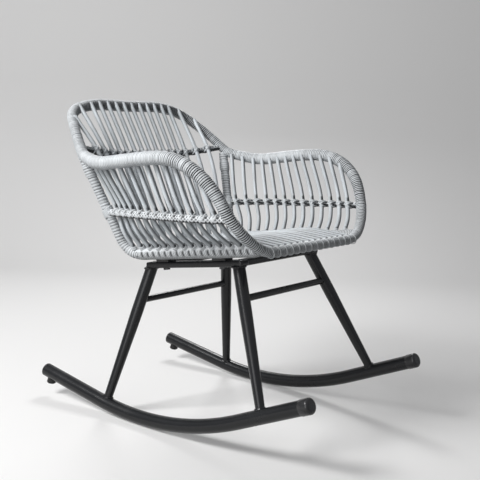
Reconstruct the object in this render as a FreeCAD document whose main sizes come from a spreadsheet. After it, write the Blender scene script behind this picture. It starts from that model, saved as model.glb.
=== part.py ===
import FreeCAD, Part
import math
import os
import Sketcher
from FreeCAD import Placement, Rotation, Vector

# Rattan rocking chair: a shell of cane rods inside one closed rim, on a steel base with two rockers.
# Millimetres. +Z is up, the chair faces -Y, and the floor is at Z = 0 under the rockers.

doc = FreeCAD.newDocument("RattanRockingChair")

# Driving dimensions: lengths in millimetres, angles in degrees, counts as whole numbers.
# A name that ends in _along or _above is a place in the seat's own plane: along its slope
# towards the rear, or square to it above the middle of the steel seat frame.
SIZES = {
    # rockers: a long bend that touches the floor, with a straight run at each end
    "rocker_half_spacing": 210,
    "rocker_radius": 15,
    "rocker_bore": 13.5,
    "rocker_bend": 675,
    "contact_y": 70,
    "contact_arc": 3.4,
    "rocker_step": 3.2,
    "front_rise": 23.4,
    "rear_rise": 9.4,
    "rocker_front_y": -356.5,
    "rocker_rear_y": 364,
    # legs and stretchers
    "leg_top_radius": 13,
    "leg_foot_radius": 9,
    "leg_taper_share": 0.65,
    "leg_wall": 1.5,
    "front_foot_y": -253,
    "rear_foot_y": 167,
    "front_leg_along": -122.5,
    "rear_leg_along": 117,
    "stretcher_radius": 7.2,
    "stretcher_bore": 6,
    "front_stretcher_share": 0.755,
    "rear_stretcher_share": 0.744,
    # steel seat frame
    "seat_pitch": 8.4,
    "frame_level": 343.4,
    "bar_half_spacing": 128,
    "bar_width": 28,
    "bar_height": 13.5,
    "bar_wall": 1.5,
    "bar_front_along": -136,
    "bar_rear_along": 121,
    "plug_nose": 5.5,
    "plug_stem": 14,
    # caps, end plugs and stops of the rockers
    "cap_radius": 16,
    "cap_skirt": 15,
    "cap_dome": 9,
    "end_plug_flange": 3,
    "end_plug_stem": 135,
    "stop_radius": 11,
    "stop_drop": 10,
    "stop_round": 4,
    "stop_inset": 18,
    # saddles and bolts that carry the shell
    "front_pole_along": -81,
    "rear_pole_along": 76,
    "saddle_length": 34,
    "saddle_width": 26,
    "saddle_height": 17,
    "bolt_radius": 4,
    "bolt_clearance": 0.3,
    "bolt_head_radius": 7.5,
    "bolt_head_height": 4.5,
    # poles of the shell; a bend is faceted in steps of so many degrees
    "pole_sides": 16,
    "pole_step": 13,
    "shell_above": 28.5,
    "pole_radius": 11,
    "side_half_spacing": 180,
    "side_front_along": -222,
    "side_rear_along": 138,
    "side_bend": 45,
    "post_top_x": 240,
    "post_top_y": 227,
    "post_top_z": 563,
    "seat_rear_along": 122,
    "edging_radius": 12.6,
    "edging_front_along": -192,
    "edging_rear_along": 92,
    "binding_radius": 12.6,
    "binding_length": 30,
    "binding_drop": 24,
    # rim: its corners from the front rail to the crest, each with its bend and the rim's radius there
    "front_rail_y": -217,
    "front_rail_z": 397,
    "front_corner_x": 174,
    "front_corner_bend": 96,
    "front_corner_radius": 10.4,
    "knee_x": 237,
    "knee_y": -195,
    "knee_z": 446,
    "knee_bend": 151,
    "knee_radius": 11.6,
    "arm_front_x": 283,
    "arm_front_y": -132,
    "arm_front_z": 578,
    "arm_front_bend": 136,
    "arm_front_radius": 13.8,
    "arm_middle_x": 271,
    "arm_middle_y": 5,
    "arm_middle_z": 569,
    "arm_middle_bend": 389,
    "arm_middle_radius": 14.2,
    "arm_rear_x": 277,
    "arm_rear_y": 138,
    "arm_rear_z": 549,
    "arm_rear_bend": 104,
    "arm_rear_radius": 14.2,
    "waist_x": 247,
    "waist_y": 216,
    "waist_z": 562,
    "waist_bend": 61,
    "waist_radius": 12,
    "flank_x": 225,
    "flank_y": 263,
    "flank_z": 605,
    "flank_bend": 112,
    "flank_radius": 11.4,
    "crown_x": 187,
    "crown_y": 328,
    "crown_z": 658,
    "crown_bend": 69,
    "crown_radius": 12.4,
    "crest_x": 108,
    "crest_y": 333,
    "crest_z": 673,
    "crest_bend": 274,
    "crest_radius": 13.3,
    "crest_middle_z": 671,
    # rails and rods
    "rail_radius": 4.5,
    "rail_bend": 150,
    "arm_rail_rear_x": 205.5,
    "arm_rail_rear_y": 177,
    "arm_rail_rear_z": 441,
    "arm_rail_hip_x": 243,
    "arm_rail_hip_y": 70,
    "arm_rail_hip_z": 449,
    "arm_rail_bow_x": 258,
    "arm_rail_bow_y": -100,
    "arm_rail_bow_z": 458,
    "arm_rail_front_x": 243,
    "arm_rail_front_y": -187,
    "arm_rail_front_z": 463,
    "back_rail_end_x": 239,
    "back_rail_end_y": 233,
    "back_rail_end_z": 577,
    "back_rail_bow_x": 120,
    "back_rail_bow_y": 265,
    "back_rail_bow_z": 558,
    "rod_radius": 4.9,
    "rod_sides": 8,
    "arm_rods": 13,
    "arm_lean": 23.5,
    "arm_rod_front_y": -353,
    "arm_rod_pitch": 25.8,
    "belly_share": 0.45,
    "belly_swell": 9,
    "back_rods": 15,
    "back_rod_foot_pitch": 22,
    "back_rod_head_pitch": 26,
    "flank_rods": 2,
    "flank_rod_spread": 10,
    "back_rod_foot_z": 344,
    "seat_rod_break_along": -130,
    "touch_gap": 0.2,
    "lash_gap": 1.7,
}
sheet = doc.addObject("Spreadsheet::Sheet", "Sizes")
for row, (alias, value) in enumerate(SIZES.items(), start=1):
    sheet.set(f"A{row}", alias)
    sheet.set(f"B{row}", str(value))
    sheet.setAlias(f"B{row}", alias)
doc.recompute()

X_AXIS = Vector(1, 0, 0)
Z_AXIS = Vector(0, 0, 1)
SIDES = {"left": 1, "right": -1}
SAME_HEADING = 1e-6
sub_parts = []


def size(alias):
    """A driving dimension, read back from the sheet."""
    return float(sheet.get(alias))


def place(name):
    """The point whose three coordinates are the sheet's name_x, name_y and name_z."""
    return Vector(size(name + "_x"), size(name + "_y"), size(name + "_z"))


def to_side(point, side):
    """The same point on the chair's left (+X) or right (-X)."""
    return Vector(side * point.x, point.y, point.z)


seat_turn = Rotation(X_AXIS, -size("seat_pitch"))


def seat_point(x, along, above):
    """A point in the seat's sloping plane."""
    return Vector(0, 0, size("frame_level")) + seat_turn.multVec(Vector(x, along, above))


def keep(feature, label):
    """Name a finished sub-part after its node and list it for writing."""
    feature.Label = label
    sub_parts.append(feature)
    return feature


# Routes, poles and tubes


def route(name, points, bends):
    """Straight runs through the points, each inner corner rounded by a tangent arc."""
    edges = []
    start = points[0]
    for before, corner, after, radius in zip(points, points[1:], points[2:], bends):
        back = (before - corner).normalize()
        ahead = (after - corner).normalize()
        half_turn = (math.pi - back.getAngle(ahead)) / 2
        reach = radius * math.tan(half_turn)
        inward = (back + ahead).normalize()
        arc_start = corner + back * reach
        arc_end = corner + ahead * reach
        arc_middle = corner + inward * (radius / math.cos(half_turn) - radius)
        edges.append(Part.LineSegment(start, arc_start).toShape())
        edges.append(Part.Arc(arc_start, arc_middle, arc_end).toShape())
        start = arc_end
    edges.append(Part.LineSegment(start, points[-1]).toShape())
    feature = doc.addObject("Part::Feature", name)
    feature.Shape = Part.Wire(edges)
    return feature


def ring(name, middle, turn, radius, sides="Sizes.pole_sides"):
    """One many-sided section; radius and sides are expressions on the sheet."""
    section = doc.addObject("Part::RegularPolygon", name)
    section.setExpression("Polygon", sides)
    section.setExpression("Circumradius", radius)
    section.Placement = Placement(middle, turn)
    return section


def loft(name, sections):
    """A solid with straight sides from each section to the next."""
    solid = doc.addObject("Part::Loft", name)
    solid.Sections = sections
    solid.Solid = True
    solid.Ruled = True
    return solid


def stations(path):
    """Places and headings along a route: its ends and steps round its bends.

    With each comes its count of bends: a whole number at the middle of a bend, and half a
    bend more or less where that bend ends or starts.
    """
    found = []
    for order, edge in enumerate(path.Shape.OrderedEdges):
        turn = edge.tangentAt(edge.FirstParameter).getAngle(edge.tangentAt(edge.LastParameter))
        steps = max(1, round(math.degrees(turn) / size("pole_step")))
        for number in range(steps + 1):
            spot = edge.FirstParameter + (edge.LastParameter - edge.FirstParameter) * number / steps
            share = number / steps - 0.5 if order % 2 else -0.5
            if number or not found:
                found.append((edge.valueAt(spot), edge.tangentAt(spot), order // 2 + share))
    return found


def girth(radii, bend):
    """The radius at a count of bends, between the radii of the bends before and after it."""
    bend = min(max(bend, 0), len(radii) - 1)
    before = math.floor(bend)
    after = math.ceil(bend)
    return f"{radii[before]} + ({radii[after]} - {radii[before]}) * {bend - before}"


def pole(name, path, radii, sides="Sizes.pole_sides"):
    """A pole along a route, as thick at each bend as radii says, or of one radius throughout.

    Its sections are carried round the bends without twist.
    """
    sections = []
    turn = Rotation()
    before = Z_AXIS
    for number, (middle, heading, bend) in enumerate(stations(path)):
        if (heading - before).Length > SAME_HEADING:
            turn = Rotation(before, heading) * turn
            before = heading
        sections.append(ring(f"{name}_section_{number}", middle, turn, girth(radii, bend), sides))
    return loft(name, sections)


def straight(name, start, end, radius):
    """A straight pole from start to end."""
    turn = Rotation(Z_AXIS, end - start)
    return loft(name, [ring(f"{name}_start", start, turn, radius), ring(f"{name}_end", end, turn, radius)])


def stack(name, base, turn, rings):
    """Sections above one another on one axis; rings are (radius, height) expressions."""
    sections = []
    for number, (radius, height) in enumerate(rings):
        lift = turn.multVec(Z_AXIS) * float(sheet.evalExpression(height))
        sections.append(ring(f"{name}_ring_{number}", base + lift, turn, radius))
    return loft(name, sections)


def join(name, base, tool):
    """Two solids made one."""
    fuse = doc.addObject("Part::Fuse", name + "_join")
    fuse.Base = base
    fuse.Tool = tool
    return fuse


def trim(name, base, tools):
    """Cut each tool out of the base in turn."""
    for number, tool in enumerate(tools):
        cut = doc.addObject("Part::Cut", f"{name}_trim_{number}")
        cut.Base = base
        cut.Tool = tool
        base = cut
    return base


def gather(name, members):
    """Several like pieces as one sub-part."""
    group = doc.addObject("Part::Compound", name + "_group")
    group.Links = members
    return group


# Bodies drawn as sketches


def outline(body, plane, corners):
    """A closed outline of straight lines; each corner is a pair of expressions on the sheet."""
    sketch = body.newObject("Sketcher::SketchObject", body.Name + "_outline")
    origin_planes = {feature.Role: feature for feature in body.Origin.OriginFeatures}
    sketch.AttachmentSupport = (origin_planes[plane], [""])
    sketch.MapMode = "FlatFace"
    values = [[float(sheet.evalExpression(text)) for text in corner] for corner in corners]
    points = [Vector(x, y, 0) for x, y in values]
    first = sketch.GeometryCount
    for start, end in zip(points, points[1:] + points[:1]):
        sketch.addGeometry(Part.LineSegment(start, end), False)
    for number in range(len(points)):
        line = first + number
        following = first + (number + 1) % len(points)
        sketch.addConstraint(Sketcher.Constraint("Coincident", line, 2, following, 1))
        for kind, text, value in zip(("DistanceX", "DistanceY"), corners[number], values[number]):
            index = sketch.addConstraint(Sketcher.Constraint(kind, -1, 1, line, 1, value))
            sketch.setExpression(f"Constraints[{index}]", text)
    return sketch


def padded(name, plane, corners, length):
    """A body padded evenly to both sides of one of its origin planes."""
    body = doc.addObject("PartDesign::Body", name + "_body")
    sketch = outline(body, plane, corners)
    pad = body.newObject("PartDesign::Pad", name + "_pad")
    pad.Profile = sketch
    pad.SideType = "Symmetric"
    pad.setExpression("Length", length)
    doc.recompute()
    return body


def rectangle(half_width, half_height):
    """Corners of a rectangle about the origin, as expressions."""
    signs = ((-1, -1), (1, -1), (1, 1), (-1, 1))
    return [(f"{a} * ({half_width})", f"{b} * ({half_height})") for a, b in signs]


def half_round(reach, half_height):
    """Corners of a half ellipse that stands out from the origin, in steps of 30 degrees."""
    return [(f"{reach} * cos({angle} deg)", f"{half_height} * sin({angle} deg)")
            for angle in range(-90, 91, 30)]


# Rockers, with the caps, plugs and stops on their ends


def rocker_turn(swing):
    """The turn of a rocker's section at an angle along its bend, with a flat of it downward."""
    heading = Vector(0, math.cos(swing), math.sin(swing))
    upright = Rotation(X_AXIS, Z_AXIS.cross(X_AXIS), heading, "ZXY")
    return upright * Rotation(Z_AXIS, 180 / size("pole_sides"))


def rocker_axis(side, swing, y=None):
    """The point of a rocker's axis at an angle along its bend, or from there straight on to y."""
    tilt = math.cos(math.radians(size("contact_arc") / 2))
    flat_height = size("rocker_radius") * math.cos(math.pi / size("pole_sides")) * tilt
    lowest = flat_height - size("rocker_bend") * (1 - tilt)
    bend_y = size("contact_y") + size("rocker_bend") * math.sin(swing)
    z = lowest + size("rocker_bend") * (1 - math.cos(swing))
    y = bend_y if y is None else y
    return Vector(side * size("rocker_half_spacing"), y, z + (y - bend_y) * math.tan(swing))


def rocker_axis_at(side, y):
    """The point of a rocker's axis at a given y."""
    sine = (y - size("contact_y")) / size("rocker_bend")
    swing = min(max(math.asin(sine), -front_rise), rear_rise)
    return rocker_axis(side, swing, y)


front_rise = math.radians(size("front_rise"))
rear_rise = math.radians(size("rear_rise"))
half_contact = math.radians(size("contact_arc") / 2)
swings = []
for start, end in ((-front_rise, -half_contact), (half_contact, rear_rise)):
    steps = round((end - start) / math.radians(size("rocker_step")))
    swings += [start + (end - start) * number / steps for number in range(steps + 1)]


def rocker_tube(name, side, radius):
    """A rocker's solid of the given radius, flat where it touches the floor."""
    spots = [(rocker_axis(side, -front_rise, size("rocker_front_y")), -front_rise)]
    spots += [(rocker_axis(side, swing), swing) for swing in swings]
    spots += [(rocker_axis(side, rear_rise, size("rocker_rear_y")), rear_rise)]
    return loft(name, [ring(f"{name}_section_{number}", middle, rocker_turn(swing), radius)
                       for number, (middle, swing) in enumerate(spots)])


rocker_solid = {}
caps = []
stops = []
for hand, side in SIDES.items():
    rocker_solid[hand] = rocker_tube(f"{hand}_rocker_outside", side, "Sizes.rocker_radius")
    bore = rocker_tube(f"{hand}_rocker_inside", side, "Sizes.rocker_bore")
    keep(trim(f"{hand}_rocker", rocker_solid[hand], [bore]), f"{hand}_rocker")

    # Domed cap, slipped over the front end
    name = f"{hand}_front_cap"
    front_end = rocker_axis(side, -front_rise, size("rocker_front_y"))
    outward = rocker_turn(-front_rise) * Rotation(X_AXIS, 180)
    dome = stack(f"{name}_dome", front_end, outward, [
        ("Sizes.cap_radius", "-1 * Sizes.cap_skirt"),
        ("Sizes.cap_radius", "0.3 * Sizes.cap_dome"),
        ("Sizes.cap_radius * 0.93", "0.75 * Sizes.cap_dome"),
        ("Sizes.cap_radius * 0.72", "Sizes.cap_dome"),
    ])
    socket = stack(f"{name}_socket", front_end, outward, [
        ("Sizes.rocker_radius + Sizes.touch_gap", "-1 * Sizes.cap_skirt"),
        ("Sizes.rocker_radius + Sizes.touch_gap", "0"),
    ])
    caps.append(trim(name, dome, [socket]))

    # Flat plug in the rear end; its long stem brings the balance over the floor contact
    name = f"{hand}_rear_plug"
    rear_end = rocker_axis(side, rear_rise, size("rocker_rear_y"))
    stem = stack(f"{name}_stem", rear_end, rocker_turn(rear_rise), [
        ("Sizes.rocker_bore - Sizes.touch_gap", "-1 * Sizes.end_plug_stem"),
        ("Sizes.rocker_bore - Sizes.touch_gap", "0"),
    ])
    flange = stack(f"{name}_flange", rear_end, rocker_turn(rear_rise), [
        ("Sizes.rocker_radius", "0"),
        ("Sizes.rocker_radius", "Sizes.end_plug_flange"),
    ])
    keep(join(name, flange, stem), name)

    # Rubber stop, under the rear end
    name = f"{hand}_rear_stop"
    downward = Rotation(Z_AXIS, Vector(0, math.sin(rear_rise), -math.cos(rear_rise)))
    middle = rear_end - rocker_turn(rear_rise).multVec(Z_AXIS) * size("stop_inset")
    knob_foot = "Sizes.rocker_radius + Sizes.stop_drop"
    knob = stack(f"{name}_knob", middle, downward, [
        ("Sizes.stop_radius", "0"),
        ("Sizes.stop_radius", f"{knob_foot} - Sizes.stop_round"),
        ("Sizes.stop_radius - Sizes.stop_round * 0.3", f"{knob_foot} - Sizes.stop_round * 0.3"),
        ("Sizes.stop_radius - Sizes.stop_round", knob_foot),
    ])
    stops.append(trim(name, knob, [rocker_solid[hand]]))
keep(gather("front_caps", caps), "front_caps")
keep(gather("rear_stops", stops), "rear_stops")

# Steel seat frame: side bars of flat tube, with cross bars between them

bar_length = "(Sizes.bar_rear_along - Sizes.bar_front_along)"
bar_middle_along = (size("bar_front_along") + size("bar_rear_along")) / 2
hollow_half_width = "Sizes.bar_width / 2 - Sizes.bar_wall"
hollow_half_height = "Sizes.bar_height / 2 - Sizes.bar_wall"


def flat_tube(name, plane, length):
    """A flat rectangular tube: the outside padded, the hollow cut right through it."""
    body = padded(name, plane, rectangle("Sizes.bar_width / 2", "Sizes.bar_height / 2"), length)
    solid_volume = body.Shape.Volume
    sketch = outline(body, plane, rectangle(hollow_half_width, hollow_half_height))
    hollow = body.newObject("PartDesign::Pocket", name + "_hollow")
    hollow.Profile = sketch
    hollow.Type = "ThroughAll"
    hollow.SideType = "Symmetric"
    doc.recompute()
    assert body.Shape.Volume < solid_volume / 2, name
    return body


def bolt_hole(name, middle):
    """The clearance hole of a bolt, as a solid to cut away."""
    reach = size("shell_above")
    ends = [middle + seat_turn.multVec(Z_AXIS) * lift for lift in (-reach, reach)]
    return straight(name, ends[0], ends[1], "Sizes.bolt_radius + Sizes.bolt_clearance")


pole_stations = {"front": size("front_pole_along"), "rear": size("rear_pole_along")}
leg_stations = {"front": size("front_leg_along"), "rear": size("rear_leg_along")}
bar_envelope = {}
bolt_places = {}
bolt_holes = {}
for hand, side in SIDES.items():
    bar_middle = seat_point(side * size("bar_half_spacing"), bar_middle_along, 0)
    bar = flat_tube(f"{hand}_side_bar", "XZ_Plane", bar_length)
    bar.Placement = Placement(bar_middle, seat_turn)
    for end, along in pole_stations.items():
        bolt_places[end, hand] = seat_point(bar_middle.x, along, 0)
        bolt_holes[end, hand] = bolt_hole(f"{end}_{hand}_bolt_hole", bolt_places[end, hand])
    holes = [bolt_holes[end, hand] for end in pole_stations]
    keep(trim(f"{hand}_side_bar", bar, holes), f"{hand}_side_bar")

    # The room that the bar takes, longer than it so that a leg's top is cut flat under its end
    room = [("Length", "Sizes.bar_width"), ("Width", f"{bar_length} + 4 * Sizes.leg_top_radius"),
            ("Height", "Sizes.bar_height")]
    envelope = doc.addObject("Part::Box", f"{hand}_side_bar_envelope")
    for measure, text in room:
        envelope.setExpression(measure, text)
    half_box = Vector(*[float(sheet.evalExpression(text)) / 2 for measure, text in room])
    envelope.Placement = Placement(bar_middle - seat_turn.multVec(half_box), seat_turn)
    bar_envelope[hand] = envelope

for end, along in leg_stations.items():
    cross_bar = flat_tube(f"{end}_cross_bar", "YZ_Plane", "2 * Sizes.bar_half_spacing - Sizes.bar_width")
    cross_bar.Placement = Placement(seat_point(0, along, 0), seat_turn)
    keep(cross_bar, f"{end}_cross_bar")

# Plugs in the open ends of the side bars: a rounded nose over the end, a stem inside it

for hand, side in SIDES.items():
    for end, sign in {"front": -1, "rear": 1}.items():
        name = f"{hand}_{end}_bar_plug"
        bar_end = size(f"bar_{end}_along")
        stem = padded(f"{name}_stem", "XZ_Plane", rectangle(hollow_half_width, hollow_half_height),
                      "Sizes.plug_stem")
        nose_outline = half_round(f"{sign} * Sizes.plug_nose", "Sizes.bar_height / 2")
        nose = padded(f"{name}_nose", "YZ_Plane", nose_outline, "Sizes.bar_width")
        for piece, along in ((stem, bar_end - sign * size("plug_stem") / 2), (nose, bar_end)):
            piece.Placement = Placement(seat_point(side * size("bar_half_spacing"), along, 0), seat_turn)
        keep(join(name, nose, stem), name)

# Legs, tapered, from each rocker up to the side bars, and a stretcher between each pair


def leg_solid(name, foot, top, inset):
    """A leg that widens as far as its taper goes, then runs on straight, with its skin set in by inset."""
    turn = Rotation(Z_AXIS, top - foot)
    taper_end = foot + (top - foot) * size("leg_taper_share")
    rings = [(foot, "leg_foot_radius"), (taper_end, "leg_top_radius"), (top, "leg_top_radius")]
    return loft(name, [ring(f"{name}_section_{number}", middle, turn, f"Sizes.{radius} - {inset}")
                       for number, (middle, radius) in enumerate(rings)])


foot_places = {"front": size("front_foot_y"), "rear": size("rear_foot_y")}
for end, along in leg_stations.items():
    leg_solids = []
    joints = []
    for hand, side in SIDES.items():
        name = f"{end}_{hand}_leg"
        foot = rocker_axis_at(side, foot_places[end])
        top = seat_point(side * size("bar_half_spacing"), along, 0)
        outside = leg_solid(f"{name}_outside", foot, top, "0")
        inside = leg_solid(f"{name}_inside", foot, top, "Sizes.leg_wall")
        keep(trim(name, outside, [inside, rocker_solid[hand], bar_envelope[hand]]), name)
        leg_solids.append(outside)
        joints.append(foot + (top - foot) * size(f"{end}_stretcher_share"))
    name = f"{end}_stretcher"
    outside = straight(f"{name}_outside", joints[0], joints[1], "Sizes.stretcher_radius")
    inside = straight(f"{name}_inside", joints[0], joints[1], "Sizes.stretcher_bore")
    keep(trim(name, outside, [inside] + leg_solids), name)

# Rim: one closed hoop, the front rail, both arms and the back, wound with cane strip

front_middle = Vector(0, size("front_rail_y"), size("front_rail_z"))
front_corner = Vector(size("front_corner_x"), size("front_rail_y"), size("front_rail_z"))
crest_middle = Vector(0, size("crest_y"), size("crest_middle_z"))
turns = ["knee", "arm_front", "arm_middle", "arm_rear", "waist", "flank", "crown", "crest"]
rim_points = [front_middle, front_corner] + [place(corner) for corner in turns] + [crest_middle]
rim_corners = ["front_corner"] + turns
rim_route = route("rim_route", rim_points, [size(corner + "_bend") for corner in rim_corners])
rim_half = pole("rim_half", rim_route, [f"Sizes.{corner}_radius" for corner in rim_corners])
rim_other_half = doc.addObject("Part::Mirroring", "rim_other_half")
rim_other_half.Source = rim_half
rim_other_half.Normal = X_AXIS
rim = keep(join("rim", rim_half, rim_other_half), "rim")

# Side poles: the rear post and the seat side, bent from one pole; edging and binding round them


def sleeve(name, start, end, turn, radius):
    """A wound covering on a straight run of a pole, its facets in line with the pole's."""
    tubes = []
    for part, size_text in (("outside", radius), ("inside", "Sizes.pole_radius + Sizes.touch_gap")):
        tubes.append(loft(f"{name}_{part}", [ring(f"{name}_{part}_start", start, turn, size_text),
                                             ring(f"{name}_{part}_end", end, turn, size_text)]))
    keep(trim(name, tubes[0], [tubes[1]]), name)


side_pole = {}
for hand, side in SIDES.items():
    front = seat_point(side * size("side_half_spacing"), size("side_front_along"), size("shell_above"))
    corner = seat_point(side * size("side_half_spacing"), size("side_rear_along"), size("shell_above"))
    post_top = to_side(place("post_top"), side)
    path = route(f"{hand}_side_pole_route", [front, corner, post_top], [size("side_bend")])
    bent = pole(f"{hand}_side_pole_whole", path, ["Sizes.pole_radius"])
    side_pole[hand] = keep(trim(f"{hand}_side_pole", bent, [rim]), f"{hand}_side_pole")

    edging_ends = [seat_point(front.x, size(f"edging_{end}_along"), size("shell_above"))
                   for end in ("front", "rear")]
    sleeve(f"{hand}_seat_edging", *edging_ends, bent.Sections[0].Placement.Rotation, "Sizes.edging_radius")

    upward = (post_top - corner).normalize()
    binding_top = post_top - upward * size("binding_drop")
    binding_foot = binding_top - upward * size("binding_length")
    sleeve(f"{hand}_post_binding", binding_foot, binding_top, bent.Sections[-1].Placement.Rotation,
           "Sizes.binding_radius")

# Straight poles under the seat, and the saddles and bolts that hold them on the side bars


def cross_pole(name, along, end_x):
    """A straight cane pole between the side poles."""
    ends = [seat_point(sign * end_x, along, size("shell_above")) for sign in (-1, 1)]
    return keep(straight(name, ends[0], ends[1], "Sizes.pole_radius"), name)


edging_face = size("side_half_spacing") - size("edging_radius") - size("touch_gap")
for end, along in pole_stations.items():
    seat_pole = cross_pole(f"{end}_seat_pole", along, edging_face)
    for hand in SIDES:
        base = bolt_places[end, hand]

        name = f"{end}_{hand}_saddle"
        saddle = padded(name, "YZ_Plane", rectangle("Sizes.saddle_length / 2", "Sizes.saddle_height / 2"),
                        "Sizes.saddle_width")
        lift = size("bar_height") / 2 + size("saddle_height") / 2
        saddle.Placement = Placement(base + seat_turn.multVec(Z_AXIS) * lift, seat_turn)
        keep(trim(name, saddle, [seat_pole, bolt_holes[end, hand]]), name)

        name = f"{end}_{hand}_bolt"
        under_bar = "-1 * Sizes.bar_height / 2"
        shank = stack(f"{name}_shank", base, seat_turn, [
            ("Sizes.bolt_radius", under_bar),
            ("Sizes.bolt_radius", "Sizes.shell_above - Sizes.pole_radius - Sizes.touch_gap"),
        ])
        head = doc.addObject("Part::Prism", f"{name}_head")
        head.Polygon = 6
        head.setExpression("Circumradius", "Sizes.bolt_head_radius")
        head.setExpression("Height", "Sizes.bolt_head_height")
        head_drop = size("bar_height") / 2 + size("bolt_head_height")
        head.Placement = Placement(base - seat_turn.multVec(Z_AXIS) * head_drop, seat_turn)
        keep(join(name, head, shank), name)
cross_pole("seat_rear_pole", size("seat_rear_along"),
           size("side_half_spacing") - size("pole_radius") - size("touch_gap"))

# Rails, which the rods are lashed to

arm_rail_route = {}
for hand, side in SIDES.items():
    points = [to_side(place("arm_rail_" + spot), side) for spot in ("rear", "hip", "bow", "front")]
    path = route(f"{hand}_arm_rail_route", points, [size("rail_bend")] * 2)
    whole = pole(f"{hand}_arm_rail_whole", path, ["Sizes.rail_radius"], "Sizes.rod_sides")
    keep(trim(f"{hand}_arm_rail", whole, [rim, side_pole[hand]]), f"{hand}_arm_rail")
    arm_rail_route[hand] = path

back_rail_points = [to_side(place("back_rail_" + spot), side)
                    for spot, side in (("end", -1), ("bow", -1), ("bow", 1), ("end", 1))]
back_rail_route = route("back_rail_route", back_rail_points, [size("rail_bend")] * 2)
back_rail_whole = pole("back_rail_whole", back_rail_route, ["Sizes.rail_radius"], "Sizes.rod_sides")
keep(trim("back_rail", back_rail_whole, [rim]), "back_rail")

# Rods, eight-sided, with level or square sections; their heads are coped round the rim

PLANE_SPAN = 2000


def crossings(path, point, normal):
    """The points where a route passes through a plane."""
    plane = Part.makePlane(PLANE_SPAN, PLANE_SPAN, Vector(-PLANE_SPAN / 2, -PLANE_SPAN / 2, 0))
    plane.Placement = Placement(point, Rotation(Z_AXIS, normal))
    return [vertex.Point for vertex in path.Shape.section(plane).Vertexes]


def rod(name, points, normal):
    """A cane rod through the points, with its sections square to the given direction."""
    turn = Rotation(Z_AXIS, normal)
    return loft(name, [ring(f"{name}_section_{number}", point, turn, "Sizes.rod_radius", "Sizes.rod_sides")
                       for number, point in enumerate(points)])


lash_offset = size("rail_radius") + size("rod_radius") + size("lash_gap")

# Arm rods: each stands in its own leaning plane, from the rim past the rail in to the seat side
lean = math.radians(size("arm_lean"))
lean_normal = Vector(0, math.cos(lean), -math.sin(lean))
seat_line = [seat_point(size("side_half_spacing"), size(f"side_{end}_along"), size("shell_above"))
             for end in ("front", "rear")]
seat_route = route("seat_line", seat_line, [])
members = []
for number in range(int(size("arm_rods"))):
    ground = Vector(0, size("arm_rod_front_y") + number * size("arm_rod_pitch"), 0)
    head = max(crossings(rim_route, ground, lean_normal), key=lambda hit: hit.z)
    waist = crossings(arm_rail_route["left"], ground, lean_normal)[0] - X_AXIS * lash_offset
    foot = crossings(seat_route, ground, lean_normal)[0]
    belly = waist + (foot - waist) * size("belly_share") + X_AXIS * size("belly_swell")
    foot_end = foot + (belly - foot).normalize() * (size("edging_radius") + size("rod_radius"))
    members.append(rod(f"arm_rod_{number}", [head, waist, belly, foot_end], Z_AXIS))
left_rods = keep(trim("left_arm_rods", gather("left_arm_rods", members), [rim_half]), "left_arm_rods")
right_rods = doc.addObject("Part::Mirroring", "right_arm_rods_mirror")
right_rods.Source = left_rods
right_rods.Normal = X_AXIS
keep(right_rods, "right_arm_rods")

# Back rods: from behind the rear seat pole, in front of the back rail, up to the crest; the outermost
# on each side stand wider apart and reach the rim's flank
rear_pole = seat_point(0, size("seat_rear_along"), size("shell_above"))
foot_y = rear_pole.y + size("pole_radius") + size("rod_radius") * 1.5
half_count = int(size("back_rods")) // 2
members = []
for number in range(-half_count, half_count + 1):
    side = -1 if number < 0 else 1
    flank_order = max(0, abs(number) - half_count + size("flank_rods"))
    head_x = number * size("back_rod_head_pitch") + side * flank_order * size("flank_rod_spread")
    foot_x = number * size("back_rod_foot_pitch")
    rim_hits = crossings(rim_route, X_AXIS * abs(head_x), X_AXIS)
    head = to_side(max(rim_hits, key=lambda hit: hit.z), side)
    rise = (size("back_rail_bow_z") - size("back_rod_foot_z")) / (head.z - size("back_rod_foot_z"))
    rail_x = foot_x + (head_x - foot_x) * rise
    rail = crossings(back_rail_route, X_AXIS * rail_x, X_AXIS)[0]
    upward = Vector(0, head.y - rail.y, head.z - rail.z).normalize()
    waist = rail + X_AXIS.cross(upward) * lash_offset
    foot = Vector(foot_x, foot_y, size("back_rod_foot_z"))
    members.append(rod(f"back_rod_{number + half_count}", [foot, waist, head], upward))
keep(trim("back_rods", gather("back_rods", members), [rim]), "back_rods")

# Seat rods: over the seat poles, dipping to the back of the front rail
members = []
rod_above = size("shell_above") + size("pole_radius") + size("rod_radius") + size("touch_gap")
front_end = Vector(0, size("front_rail_y") + size("front_corner_radius") + size("lash_gap"),
                   size("front_rail_z") + size("rod_radius"))
for number in range(-half_count, half_count + 1):
    x = number * size("back_rod_foot_pitch")
    rear = seat_point(x, size("seat_rear_along") + size("rod_radius"), rod_above)
    middle = seat_point(x, size("seat_rod_break_along"), rod_above)
    ends = [rear, middle, front_end + X_AXIS * x]
    members.append(rod(f"seat_rod_{number + half_count}", ends, Vector(0, 1, 0)))
keep(gather("seat_rods", members), "seat_rods")

# Rebuild, check and write every sub-part

doc.recompute()
for feature in doc.Objects:
    assert not {"Invalid", "Error"} & set(feature.State), f"{feature.Label}: {feature.State}"
for feature in sub_parts:
    assert not feature.Shape.isNull() and feature.Shape.isValid(), feature.Label

os.makedirs("parts", exist_ok=True)
for feature in sub_parts:
    feature.Shape.exportStep(f"parts/{feature.Label}.step")
    print(feature.Label, "solids", len(feature.Shape.Solids), "volume", round(feature.Shape.Volume))
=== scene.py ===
import math

import bpy
import numpy as np
from mathutils import Matrix


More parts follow.
